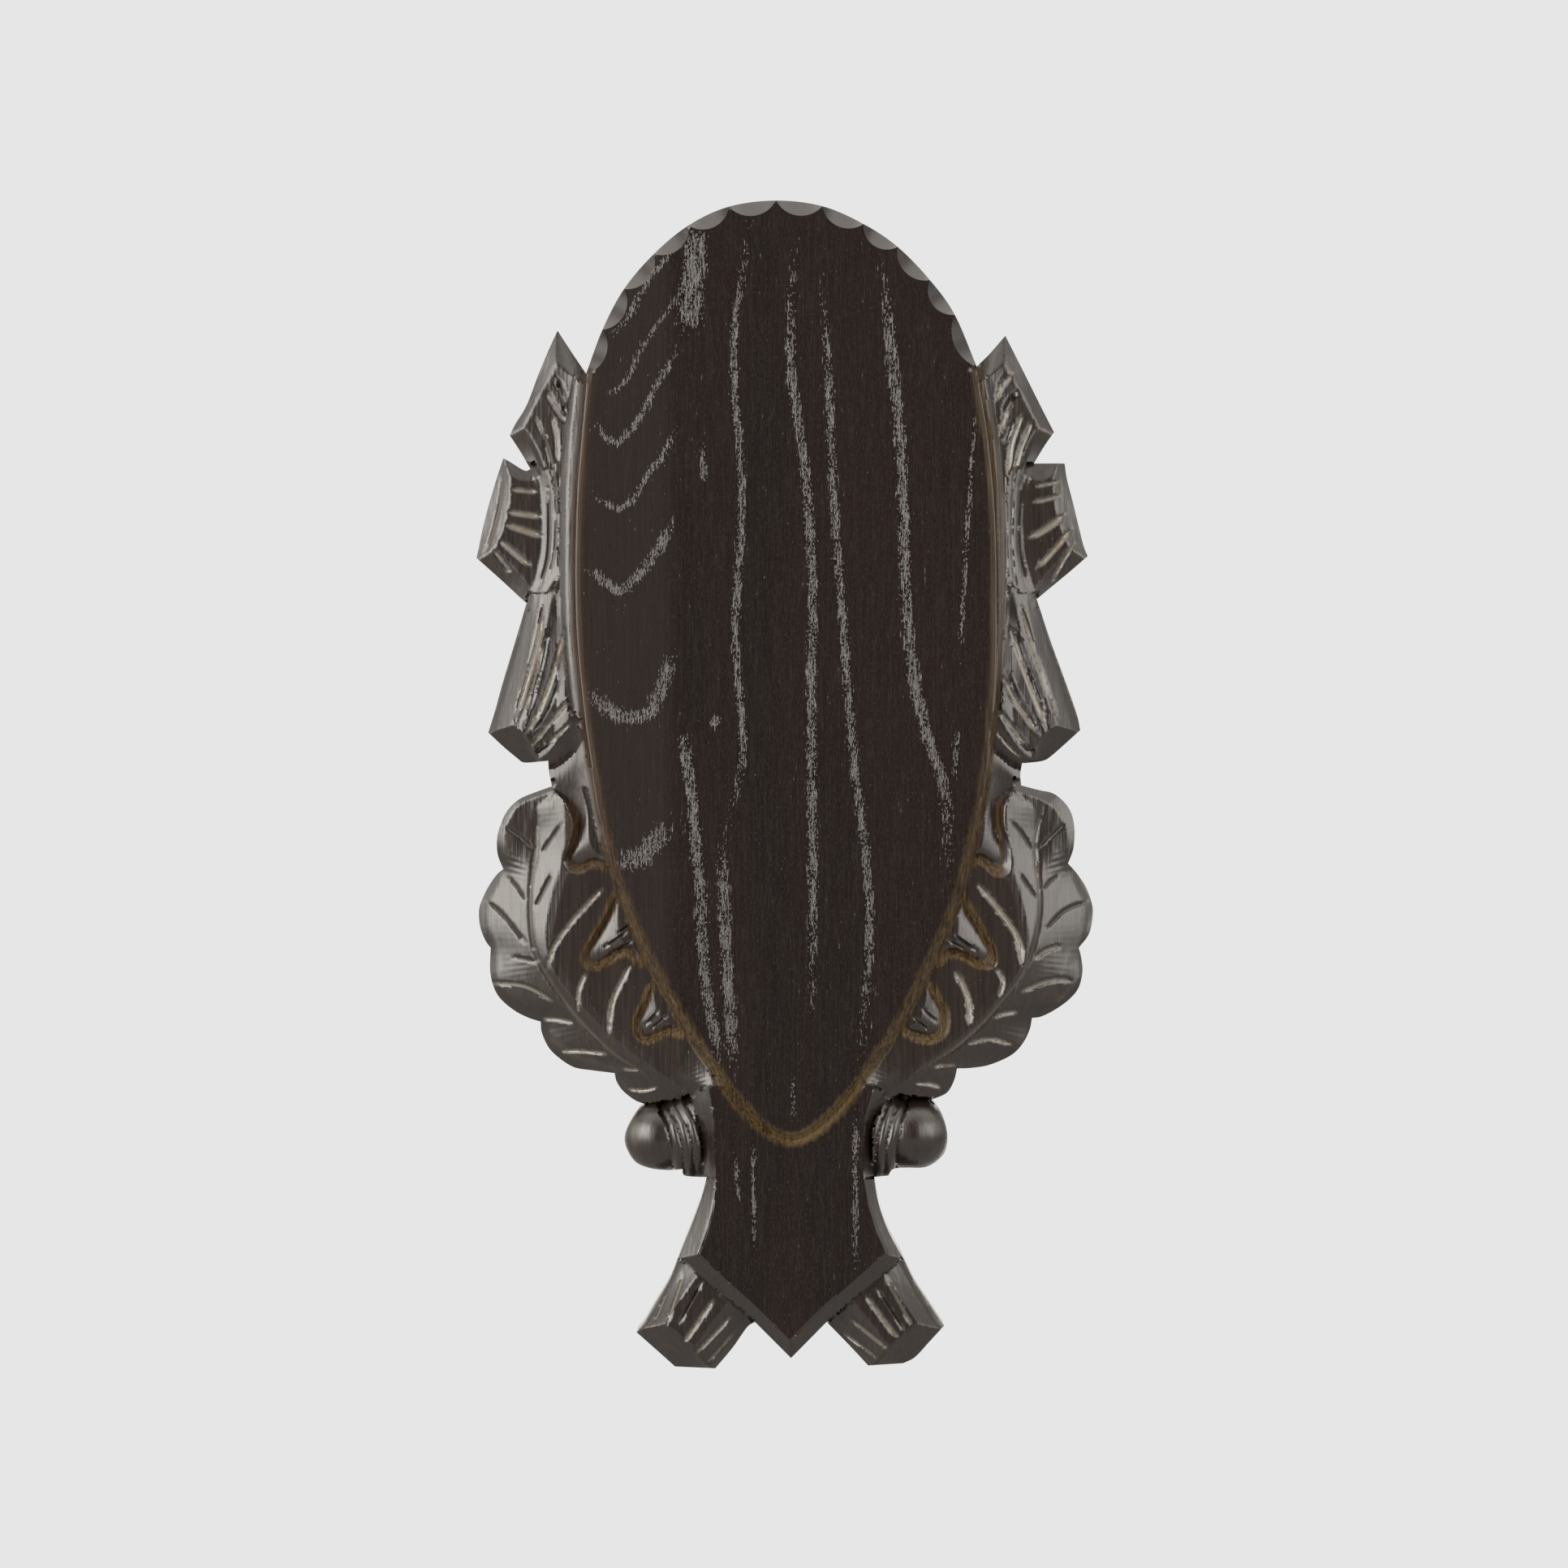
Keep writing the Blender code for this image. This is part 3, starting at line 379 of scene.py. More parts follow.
# Strokes of a gouge: half width, depth, how much light is painted along the stroke, and the points.
# Above zero the stroke is painted pale, a painted highlight for its cut edges catching the light.
# Below zero it is painted darker: painted shade along the leaves' outer rims, dark lines elsewhere.
MIDRIB_LEFT = (
    (-52.8, -4), (-52.7, -10), (-52.9, -15), (-54, -20), (-54.4, -25), (-54.1, -32),
    (-53, -36.5), (-51, -40.5), (-48, -45), (-44.5, -49.5), (-40, -54.3), (-36, -57.9),
    (-31, -61.1), (-27.6, -62.9),
)
MIDRIB_RIGHT = (
    (55.8, -5), (54.3, -9.5), (53.8, -14), (54.4, -20), (54.8, -25), (54.3, -31), (52.8, -36.5),
    (50.5, -41.5), (46.5, -46.5), (42, -51.5), (36, -56.7), (31, -60), (27.3, -62.6),
)
STROKES = (
    (0.8, 0.45, 0.25, MIDRIB_LEFT),
    # Wide shallow strokes painted darker along the leaf's outer rim: painted shade
    (1.7, 0.3, -0.5, ((-58.4, -4.4), (-61.4, -10), (-61, -16.4))),
    (2.1, 0.3, -0.5, ((-61.4, -19.4), (-65.2, -25.4), (-64.6, -32))),
    (0.5, 0.45, 0, ((-59.8, -9), (-56.4, -11.2), (-53.5, -14))),
    (0.5, 0.4, 0, ((-59, -20), (-57, -22), (-55.2, -25))),
    (0.55, 0.5, 0, ((-63.5, -25), (-60, -28), (-55.3, -34))),
    (0.5, 0.45, 0, ((-58, -37), (-55.6, -37.3), (-53, -38))),
    (0.5, 0.5, 0.9, ((-62.5, -42.5), (-55.5, -43.2), (-49.4, -46.4))),
    (0.5, 0.5, 0.9, ((-52, -50.2), (-48.5, -50.3), (-45, -51))),
    (0.6, 0.6, 0.9, ((-48, -57), (-43, -57.1), (-37.5, -57.8))),
    (0.5, 0.5, 0.9, ((-34.6, -61), (-30.8, -61.2))),
    # Wide shallow stroke painted pale over the lower lobe: painted highlight
    (2.2, 0.1, 0.1, ((-49.6, -54.4), (-45, -58), (-38.6, -60))),
    (0.5, 0.5, 0.9, ((-33.5, -65.2), (-30, -65.4), (-27, -64.8))),
    (0.5, 0.45, 0, ((-47.5, -8.5), (-49.4, -11.2), (-51.8, -14.5))),
    (0.5, 0.45, 0, ((-49.5, -19), (-51.2, -22.4), (-53.3, -26.5))),
    (0.6, 0.6, 0.9, ((-39, -22.5), (-45, -29), (-49.3, -35), (-50.7, -39.8))),
    (0.5, 0.5, 0.9, ((-42.5, -40.5), (-44, -44.5), (-44, -48.5))),
    (0.6, 0.6, 0.9, ((-33, -39), (-36.5, -46), (-37.7, -53.8))),
    (0.7, 0.6, 0.9, ((-50.6, 83.8), (-48.9, 80.6), (-46.4, 77))),
    (0.5, 0.5, 0.9, ((-48.4, 86), (-46.9, 80))),
    (0.5, 0.45, 0.9, ((-49.6, 78.4), (-48.6, 74), (-48.4, 69))),
    (0.5, 0.45, 0.9, ((-53.2, 78.4), (-50.8, 73), (-49.4, 67.6), (-48.8, 62))),
    (0.7, 0.6, 0.9, ((-58.2, 63), (-53.2, 62.5))),
    (0.8, 0.65, 0.9, ((-59, 58.2), (-52, 57.2))),
    (0.9, 0.7, 0.9, ((-59.5, 55.5), (-56, 54.4), (-51.8, 53))),
    (0.8, 0.65, 0.9, ((-60.5, 52), (-57.8, 49.5), (-54.5, 46.7))),
    (0.7, 0.6, 0.9, ((-62, 50), (-58.5, 45.5))),
    (0.4, 0.4, 0.5, ((-60.4, 66), (-60.8, 60), (-62.4, 53.5), (-64, 49))),
    (0.5, 0.4, -0.7, ((-50.6, 64), (-50.2, 56), (-50.6, 48), (-52.6, 41.6))),
    (0.35, 0.35, 0.5, ((-49, 68), (-48.7, 58), (-49, 50), (-50.6, 43.4))),
    (0.3, 0.35, -0.8, ((-48.2, 66), (-48.1, 56), (-48.3, 46))),
    (0.4, 0.5, -1, ((-38.4, -34.8), (-33.6, -31.6))),
    (0.4, 0.5, -1, ((-37.2, -36), (-32.4, -33.6))),
    (0.4, 0.5, -1, ((-35.6, -31.8), (-32.6, -29.8))),
    (0.4, 0.5, -1, ((-29.6, -51.4), (-27, -48.6))),
    (0.4, 0.5, -1, ((-28.4, -52.4), (-25.2, -49.6))),
    (0.9, 0.7, -1, ((-48.8, 87), (-47, 82.4), (-46.6, 77.8))),
    (0.5, 0.5, -1, ((-51.6, 75.4), (-50, 69.6), (-49, 64))),
    (0.6, 0.6, -1, ((-50.4, 34), (-51.4, 27), (-54.6, 15))),
    (0.5, 0.5, -1, ((-48.2, 22), (-50.4, 16), (-53.6, 11))),
    (0.8, 0.7, 0.9, ((-51.5, 38), (-52.6, 30), (-57.5, 13.5))),
    (0.6, 0.5, 0.9, ((-51.3, 31), (-53.6, 21), (-57, 12.3))),
    (0.8, 0.65, 0.9, ((-46.8, 33), (-49, 25), (-52.2, 16), (-55.5, 10.2))),
    (0.7, 0.6, 0.9, ((-45.9, 18), (-49.6, 13.6), (-53.8, 8.2))),
    (0.6, 0.5, 0.9, ((-45.8, 12.8), (-51, 8))),
    (0.45, 0.5, 0.9, ((-21.4, -104.6), (-25.2, -116))),
    (0.6, 0.6, 0.9, ((-15.2, -110.4), (-21.4, -119.4))),
    (0.55, 0.6, 0.9, ((-11.4, -114), (-18.9, -121.9))),
    (0.4, 0.5, 0.7, ((-10.8, -117.6), (-16.3, -123.6))),
    # Wide shallow stroke painted pale on the nut's outer side: painted highlight
    (2.6, 0.05, 0.16, ((-31.6, -71.4), (-32.4, -74.4), (-31.8, -77.6))),
    (0.4, 0.5, 0.7, ((-25, -108.6), (-27.6, -114.8))),
    (0.45, 0.5, -1, ((-17.6, -106.6), (-22.6, -115.6))),
    (0.8, 0.45, 0.25, MIDRIB_RIGHT),
    # Wide shallow strokes painted darker along the leaf's outer rim and top lobe: painted shade
    (3.4, 0.3, -0.8, ((56.4, -3), (59.6, -7), (60.2, -13), (58.8, -16.6))),
    (1.8, 0.3, -0.5, ((62.6, -19.4), (65.8, -26), (64.4, -32))),
    (2.6, 0.3, -0.6, ((62, -36.4), (62.4, -41), (58, -46.6))),
    (0.5, 0.45, 0, ((60, -8.5), (57.2, -11), (54.5, -14))),
    (0.5, 0.4, 0, ((58.8, -19.5), (57, -20.6), (55.3, -22.6))),
    (0.55, 0.5, 0, ((65, -25), (60, -27), (56, -31))),
    (0.6, 0.6, 0.9, ((59, -34.6), (56, -35.6), (53.5, -37.4))),
    (0.6, 0.6, 0.9, ((61.5, -42), (57, -42), (51, -44.2))),
    (0.6, 0.6, 0.9, ((50, -48.8), (47.4, -49), (45, -49.8))),
    (0.6, 0.6, 0.9, ((48.7, -55.5), (44, -54.5), (39.5, -55.4))),
    (0.6, 0.6, 0.9, ((36.8, -60.1), (32, -60.3))),
    (0.6, 0.6, 0.9, ((28, -64), (31, -64.1), (33.5, -64.8))),
    (0.5, 0.45, 0, ((48.5, -8), (50.8, -10.6), (53, -14))),
    (0.5, 0.45, 0, ((50.2, -19), (52, -21.6), (54, -24.5))),
    (0.9, 0.8, 0.9, ((41.5, -21.5), (46, -27), (50, -33), (51, -38.5))),
    (0.6, 0.5, 0.9, ((45.5, -39.5), (46.8, -42), (46.2, -45.4))),
    (0.9, 0.8, 0.9, ((36.8, -40.2), (39.3, -45.5), (39.8, -51.4))),
    (0.8, 0.7, 0.9, ((48.8, 87.6), (46.8, 85), (45.4, 82))),
    (0.8, 0.7, 0.9, ((49.6, 84), (47.8, 80), (46.2, 75))),
    (0.6, 0.5, 0.9, ((51, 79), (48.8, 73), (47.8, 66))),
    (0.6, 0.5, 0.9, ((53, 77.5), (50.4, 71), (48.8, 64))),
    (0.7, 0.6, 0.9, ((53.5, 60.3), (58.8, 61.6))),
    # Wide shallow stroke painted pale along the branch strip: painted highlight
    (1.1, 0.2, 0.28, ((45.2, 82), (46.4, 68), (46.8, 52), (46.6, 36), (45.6, 20))),
    (0.35, 0.3, 0.9, ((47.4, 66), (47.7, 52), (47.4, 38), (46.4, 22))),
    (0.5, 0.4, -0.7, ((50.8, 66), (50.2, 58), (50.2, 50), (52, 42))),
    (0.35, 0.35, 0.5, ((49.4, 68), (48.8, 58), (48.8, 48), (50, 41))),
    (0.6, 0.5, 0.9, ((54, 63.6), (58.4, 64.6))),
    (0.9, 0.7, 0.9, ((52.5, 52.6), (56, 54.6), (60, 57.6))),
    (0.8, 0.7, 0.9, ((54.2, 46.2), (58, 50.4), (61.5, 54.6))),
    (0.7, 0.6, 0.9, ((57.4, 43.6), (62, 51.5))),
    (0.8, 0.7, 0.9, ((48.2, 34), (50.4, 27), (56.2, 11.6))),
    (0.8, 0.7, 0.9, ((46.9, 23), (49.4, 17.6), (54.4, 10.6))),
    (0.7, 0.6, 0.9, ((46.3, 15.2), (49.4, 11.2), (52.7, 6.8))),
    (0.6, 0.5, 0.9, ((50.6, 38), (53, 30), (58.6, 13.4))),
    (0.5, 0.45, 0.9, ((44.6, 12.6), (47.6, 8.4), (50.6, 5.6))),
    (0.8, 0.7, -1, ((47.4, 87.4), (45.8, 84.8))),
    (0.9, 0.7, -1, ((49.2, 83.4), (47, 79.4))),
    (0.9, 0.7, -1, ((48.8, 77.4), (47.2, 72.8))),
    (0.8, 0.7, -1, ((49.6, 33), (51.8, 26), (56, 15))),
    (0.7, 0.6, -1, ((47.8, 24), (50, 18.6), (53.6, 12.6))),
    (0.4, 0.5, -1, ((41.2, -35.6), (36.2, -32))),
    (0.4, 0.5, -1, ((38.6, -35.4), (35.2, -33.4))),
    (0.4, 0.5, -1, ((32.6, -50.6), (29.6, -48))),
    (0.4, 0.5, -1, ((30.8, -52.6), (27.8, -50))),
    (0.6, 0.6, 0.9, ((17.6, -109.6), (24.2, -118.4))),
    (0.5, 0.6, 0.9, ((14.4, -114.6), (21.7, -120.4))),
    (0.4, 0.5, 0.7, ((12.6, -117.4), (19.6, -122.4))),
    (0.5, 0.6, 0.7, ((21.8, -105.4), (27.2, -115.6))),
    # Wide shallow stroke painted pale on the nut's outer side: painted highlight
    (2.6, 0.05, 0.16, ((29.6, -69.8), (32.2, -72), (33, -75.4))),
    (0.45, 0.5, -1, ((20, -108), (25.8, -117))),
)

# Bands of open pores on the flat field, each (half width, points)
PORE_BANDS = (
    (0.7, ((-38, 95), (-34, 99), (-31, 104), (-28, 109), (-24, 113.5), (-22.4, 115.4))),
    (0.6, ((-39, 84.5), (-37.5, 83.5), (-35, 85), (-33, 87.5), (-31, 92), (-28, 97), (-25, 101),
           (-22.4, 105.5))),
    (0.8, ((-42, 77), (-40, 76.3), (-38, 74), (-35.5, 73), (-32.5, 76), (-30, 80), (-27, 86),
           (-24.5, 90), (-22.5, 94))),
    (0.8, ((-42, 62), (-38, 60), (-35.5, 59), (-32, 61), (-29, 66.5), (-26, 70), (-22.8, 76.5))),
    (1.2, ((-43, 47), (-40, 44.5), (-35.5, 41.4), (-33, 43), (-30, 46), (-27, 50), (-23.2, 57))),
    (1.6, ((-42.5, 20), (-38, 16.5), (-34, 14.5), (-29, 15), (-27, 19), (-25, 24), (-23.5, 29))),
    (2.2, ((-36, -16), (-31, -16), (-28, -13), (-26, -10.5), (-24, -8.5))),
    (0.9, ((-7.1, 121), (-9.2, 108), (-10.6, 98), (-10.5, 84), (-9.4, 70.4), (-9, 60), (-9.4, 50),
           (-10.2, 40), (-10.4, 30), (-9.4, 18), (-8.8, 6), (-11.4, -6), (-12.7, -12.8))),
    (1.1, ((2.3, 118), (1.4, 100), (1.6, 88), (3.2, 76), (4.6, 66), (5.6, 52), (6.1, 38),
           (5.8, 18), (6, -4), (6.2, -24), (6, -40), (5.8, -52))),
    (1, ((8.1, 110), (8.8, 98), (9.6, 84), (10.2, 70), (10.9, 56), (12.2, 40), (13.6, 20),
         (15.4, 2), (17.3, -14), (18.3, -28), (17.6, -44), (16, -63))),
    (1.3, ((20.4, 115), (22.2, 100), (24.2, 80), (25.6, 60), (26, 42), (27.6, 24), (30.2, 11.6),
           (33.6, 1.2), (35.1, -8), (34.6, -20))),
    (0.5, ((41.1, 81), (40, 68), (39, 52), (38.2, 38), (37.6, 26))),
    (0.6, ((37.2, 12), (36.3, 1))),
    (1.3, ((-22.4, 13), (-20.4, 2.6), (-19.2, -8), (-18.2, -20), (-16, -30))),
    (1.3, ((-18.2, -20), (-17.4, -34), (-16.2, -46), (-13.6, -60))),
    (1.4, ((-13.4, -12), (-12.6, -30), (-12, -44), (-10.6, -62))),
    (0.5, ((-10.6, -78), (-9.6, -90))),
    (0.5, ((-6.6, -76), (-6.4, -100))),
    (0.7, ((15.2, -70), (15.4, -84), (15.2, -104))),
    (0.5, ((1.8, -62), (2, -72))),
    (2.6, ((-18.6, 120), (-19.4, 108), (-20.4, 96))),
    (0.8, ((-17.6, 73), (-17, 64))),
    (1, ((-14.6, 15), (-14.6, 12))),
)


def mirrored(rails):
    """The same rails on the right side. The carving's middle leans a little from the upright."""
    return tuple(
        tuple((2 * (AXIS_X - AXIS_LEAN * p[1]) - p[0], *p[1:]) for p in rail) for rail in rails
    )


def closed(points):
    """The points of a loop as an array, with the first one again at the end."""
    return np.vstack([points, points[:1]])


def smooth(points, steps=6):
    """Points along a Catmull-Rom curve through the given ones."""
    pts = np.array(points, float)
    if len(pts) == 2:
        return pts
    ends = np.vstack([2 * pts[0] - pts[1], pts, 2 * pts[-1] - pts[-2]])
    t = np.linspace(0, 1, steps, endpoint=False)[:, None]
    rows = [
        0.5 * (2 * b + (c - a) * t + (2 * a - 5 * b + 4 * c - d) * t ** 2
               + (3 * b - a - 3 * c + d) * t ** 3)
        for a, b, c, d in zip(ends, ends[1:], ends[2:], ends[3:])
    ]
    return np.vstack([*rows, pts[-1:]])


def lengths(points):
    """Distance along the line at each of its points."""
    return np.concatenate([[0], np.cumsum(np.hypot(*np.diff(points[:, :2], axis=0).T))])


def evenly(points, count):
    """The line as this many evenly spaced points."""
    along = lengths(points)
    at = np.linspace(0, along[-1], count)
    return np.column_stack([np.interp(at, along, column) for column in points.T])


def spaced(points, step):
    """The line as points about a step apart."""
    return evenly(points, max(2, int(round(lengths(points)[-1] / step)) + 1))


def search_tree(places):
    """Tree that finds the place nearest to a point."""
    tree = KDTree(len(places))
    for i, (x, z) in enumerate(places):
        tree.insert((x, z, 0), i)
    tree.balance()
    return tree


class Sheet:
    """Surface stretched over rails, and how golden the wood is there."""

    def __init__(self, rails, gold=0.0):
        self.gold = gold
        self.rows = [evenly(smooth(rail), SAMPLES_ACROSS) for rail in rails]
        spread = [row.copy() for row in self.rows]
        for end, inner in ((0, 1), (-1, -2)):
            out = spread[end][:, :2] - spread[inner][:, :2]
            size = np.maximum(np.hypot(*out.T), 0.1)[:, None]
            spread[end][:, :2] += out / size * OVERLAP
        points = np.vstack(spread)
        n = SAMPLES_ACROSS
        faces = [
            (r * n + i, r * n + i + 1, (r + 1) * n + i + 1, (r + 1) * n + i)
            for r in range(len(self.rows) - 1) for i in range(n - 1)
        ]
        self.tree = BVHTree.FromPolygons([Vector(p) for p in points], faces)
        self.low, self.high = points[:, :2].min(0), points[:, :2].max(0)

    def over(self, places):
        """Indices of the places it covers, and its heights there."""
        near = np.flatnonzero(((places >= self.low) & (places <= self.high)).all(1))
        down = Vector((0, 0, -1))
        hits = [self.tree.ray_cast(Vector((*places[i], 60)), down)[0] for i in near]
        found = [n for n, hit in enumerate(hits) if hit is not None]
        return near[found], np.array([hits[n].z for n in found])

    def creases(self):
        """Lines along which the sheet bends or ends."""
        rows = self.rows
        if self.gold:
            rows = [rows[0] + (rows[1] - rows[0]) * t for t in (0, 1, 0.33, 0.67)]
        ends = [np.array([row[end] for row in rows]) for end in (0, -1)]
        return [spaced(line[:, :2], 0.45) for line in (*rows, *ends)]


def inside(places, loop):
    """Which places lie inside the closed loop."""
    odd = np.zeros(len(places), bool)
    x, z = places[:, 0], places[:, 1]
    for (ax, az), (bx, bz) in zip(loop, np.roll(loop, -1, axis=0)):
        if az != bz:
            crosses = (az > z) != (bz > z)
            odd ^= crosses & (x < ax + (z - az) / (bz - az) * (bx - ax))
    return odd


def covers(places, loop):
    """Which places lie inside the closed loop or on it."""
    return inside(places, loop) | (distance(places, closed(loop), OVERLAP)[0] < OVERLAP)


def distance(places, line, reach):
    """Distance to a line where it is within reach, and the place along it from 0 to 1."""
    best = np.full(len(places), np.inf)
    along = np.zeros(len(places))
    low, high = line.min(0) - reach, line.max(0) + reach
    near = np.flatnonzero(((places >= low) & (places <= high)).all(1))
    total = lengths(line)
    for k, (a, b) in enumerate(zip(line, line[1:])):
        span = b - a
        size = max(span @ span, 1e-9)
        t = np.clip((places[near] - a) @ span / size, 0, 1)
        d = np.hypot(*(places[near] - a - t[:, None] * span).T)
        closer = d < best[near]
        best[near[closer]] = d[closer]
        along[near[closer]] = (total[k] + t[closer] * math.sqrt(size)) / total[-1]
    return best, along


def scallops():
    """Each scallop of the top edge: its middle, the ways along and out, half width and radius."""
    for a, b in zip(TOP_CUSPS, TOP_CUSPS[1:]):
        a, b = np.array(a), np.array(b)
        half = np.hypot(*(b - a)) / 2
        across = (b - a) / (2 * half)
        radius = (half ** 2 + SCALLOP_BITE ** 2) / (2 * SCALLOP_BITE)
        yield (a + b) / 2, across, np.array((across[1], -across[0])), half, radius


def scallop_edge(t, radius):
    """How far out the inner edge of a scallop lies, at a distance t along it."""
    return radius - SCALLOP_BITE - np.sqrt(np.clip(radius ** 2 - t ** 2, 0, None))


def edge_loop():
    """The outline of the plaque at the saw's pitch."""
    parts, start = [], TOP_CUSPS[-1]
    for run in EDGE:
        parts.append(spaced(smooth((start, *run)), EDGE_STEP)[:-1])
        start = run[-1]
    parts.append(spaced(smooth(TOP_CUSPS, 10), EDGE_STEP)[:-1])
    return np.vstack(parts)


def relief_sheets():
    """All sheets of the carving. The wood is cut down to the lowest of them."""
    groups = (
        BRANCH_STRIP, *UPPER_STUB, *MIDDLE_STUB, *LOWER_STUB, LEAF_BODY, *LOG_STUB, TRUNK_BEVEL,
        ARROW_BEVEL,
    )
    sheets = [Sheet(group) for group in (*groups, *map(mirrored, groups))]
    sheets += [Sheet(BARK_SIDE), Sheet(BARK_SIDE_RIGHT)]
    sheets += [Sheet(group, 1.0) for group in (*LEFT_WALLS, *RIGHT_WALLS)]
    for walls, floors, bark in (
        (LEFT_WALLS, LEFT_FLOORS, LEFT_BARK_END), (RIGHT_WALLS, RIGHT_FLOORS, RIGHT_BARK_END),
    ):
        feet = [(*bark, *walls[0][0]), walls[1][0], walls[2][0]]
        sheets += [Sheet(rails) for rails in zip(floors, feet)]
    return sheets


def dome(places, form, rise):
    """Heights of a rounded form (x, z, half width, half height) on the acorns' bed."""
    x, z, wide, tall = form
    round_off = 1 - ((places[:, 0] - x) / wide) ** 2 - ((places[:, 1] - z) / tall) ** 2
    return ACORN_BED + rise * np.sqrt(np.clip(round_off, 0, 1))


def acorn_height(places, acorn):
    """Heights of a nut in its ringed cup."""
    _, edge, nut, cup = acorn
    side = -1 if nut[0] < 0 else 1
    edge = np.array(edge)[::-1]
    past = (places[:, 0] - np.interp(places[:, 1], edge[:, 1], edge[:, 0])) * -side
    rings = 0.75 * np.abs(np.sin(math.pi * past / CUP_RING)) ** 0.7
    return np.where(past > 0, dome(places, cup, CUP_RISE) + rings - 0.4,
                    dome(places, nut, NUT_RISE))


def stroke_cut(places, half, depth, points):
    """Depth that one stroke of the gouge takes off each place. A shallow stroke is V-shaped."""
    d, along = distance(places, smooth(points), half)
    ends = np.clip(np.minimum(along, 1 - along) / 0.16, 0, 1)
    off = np.clip(d / (half * (0.38 + 0.5 * ends)), 0, 1)
    shape = 1 - off if depth < V_DEPTH else 1 - off ** 2
    return 0.8 * depth * shape * (0.35 + 0.65 * ends)


def carve(places, field, sheets):
    """Height, how golden the wood is and the light painted along the strokes, at each place."""
    height = np.where(field, THICKNESS, np.inf)
    gold = np.zeros(len(places))
    outside = np.flatnonzero(~field)
    for sheet in sheets:
        index, heights = sheet.over(places[outside])
        lower = heights < height[outside[index]]
        taken = outside[index[lower]]
        height[taken] = heights[lower]
        gold[taken] = sheet.gold
    found = np.isfinite(height[outside])
    covered, missed = outside[found], outside[~found]
    nearest = search_tree(places[covered])
    for i in missed:
        height[i] = height[covered[nearest.find((*places[i], 0))[1]]]
    for acorn in (LEFT_ACORN, RIGHT_ACORN):
        bed = covers(places, np.array(acorn[0], float)) & ~field
        height[bed] = acorn_height(places[bed], acorn)
        gold[bed] = 0
    # Painted light along the strokes: above zero a painted highlight, below zero painted darker
    # lines
    painted_stroke_light = np.zeros(len(places))
    for half, depth, painted_light_amount, points in STROKES:
        cut = stroke_cut(places, half, depth, points)
        height -= cut
        shown = painted_light_amount * np.clip(cut / depth * 1.6 - 0.36, 0, 1)
        painted_stroke_light = np.where(np.abs(shown) > np.abs(painted_stroke_light), shown, painted_stroke_light)
    for walls in (*LEFT_WALLS, *RIGHT_WALLS):
        foot, brow = (evenly(smooth(rail), SAMPLES_ACROSS) for rail in walls)
        d, _ = distance(places, (foot[:, :2] + brow[:, :2]) / 2, GOLD_REACH)
        gold = np.maximum(gold, np.clip((GOLD_REACH - d) / 0.3, 0, 1))
    d, _ = distance(places, closed(TRUNK), EASE)
    height = THICKNESS + (height - THICKNESS) * np.clip(d / EASE, 0, 1)
    d, _ = distance(places, smooth(OVAL), GOLD_REACH + 0.1)
    near = np.clip(d / GROOVE, 0, 1)
    height = THICKNESS + (height - THICKNESS) * near - GROOVE * (1 - near ** 1.6)
    band = np.clip((GOLD_REACH - d) / 0.25, 0, 1) * (0.62 + 0.38 * np.abs(np.sin(d * 3.2)))
    gold = np.maximum(gold * ~field, band)
    for middle, across, out, half, radius in scallops():
        t, s = (places - middle) @ across, (places - middle) @ out
        past = s - scallop_edge(t, radius)
        cut = field & (np.abs(t) <= half) & (past > 0) & (s < 6)
        height[cut] = np.minimum(height[cut], THICKNESS - SCALLOP_SLOPE * past[cut])
    return np.clip(height, LEAST_WOOD, THICKNESS), gold, painted_stroke_light * ~field


def pore_level(places, field):
    """How many open pores show at each place of the flat field."""
    level = np.zeros(len(places))
    for half, points in PORE_BANDS:
        d, along = distance(places, smooth(points), half * 1.6)
        fade = np.clip(np.minimum(along, 1 - along) / 0.15, 0, 1)
        band = np.clip((half * 1.5 - d) / (half * 0.9), 0, 1) * (0.3 + 0.7 * fade)
        level = np.maximum(level, band)
    return level * field


def beside(line, offset):
    """The line moved sideways."""
    along = np.gradient(line, axis=0)
    across = np.column_stack([-along[:, 1], along[:, 0]])
    return line + offset * across / np.hypot(*across.T)[:, None]


def feature_lines(sheets):
    """Lines that the mesh follows, so that each crease lies along its edges."""
    trunk = spaced(closed(TRUNK), 0.4)
    lines = [beside(trunk, offset) for offset in (0, -EASE, EASE)]
    oval = spaced(smooth(OVAL), 0.36)
    lines += [beside(oval, offset) for offset in (0, -0.4, 0.4, -0.8, 0.8, -GROOVE, GROOVE)]
    for sheet in sheets:
        lines += sheet.creases()
    for half, _, _, points in STROKES:
        line = spaced(smooth(points), 0.5)
        lines += [beside(line, offset * half) for offset in (0, -1, 1)]
    for middle, across, out, half, radius in scallops():
        t = np.linspace(-half, half, 28)[:, None]
        lines.append(middle + t * across + scallop_edge(t, radius) * out)
    for bed, edge, _, _ in (LEFT_ACORN, RIGHT_ACORN):
        lines += [spaced(smooth(edge), 0.5), spaced(np.array(bed, float), 0.5)]
    return lines


def grid(low, high, step, shift, rise):
    """Rows of points, every second row shifted sideways."""
    rows = []
    for n, z in enumerate(np.arange(low[1], high[1], rise)):
        xs = np.arange(low[0] + n % 2 * shift, high[0], step)
        rows.append(np.column_stack([xs, np.full(len(xs), z)]))
    return np.vstack(rows)


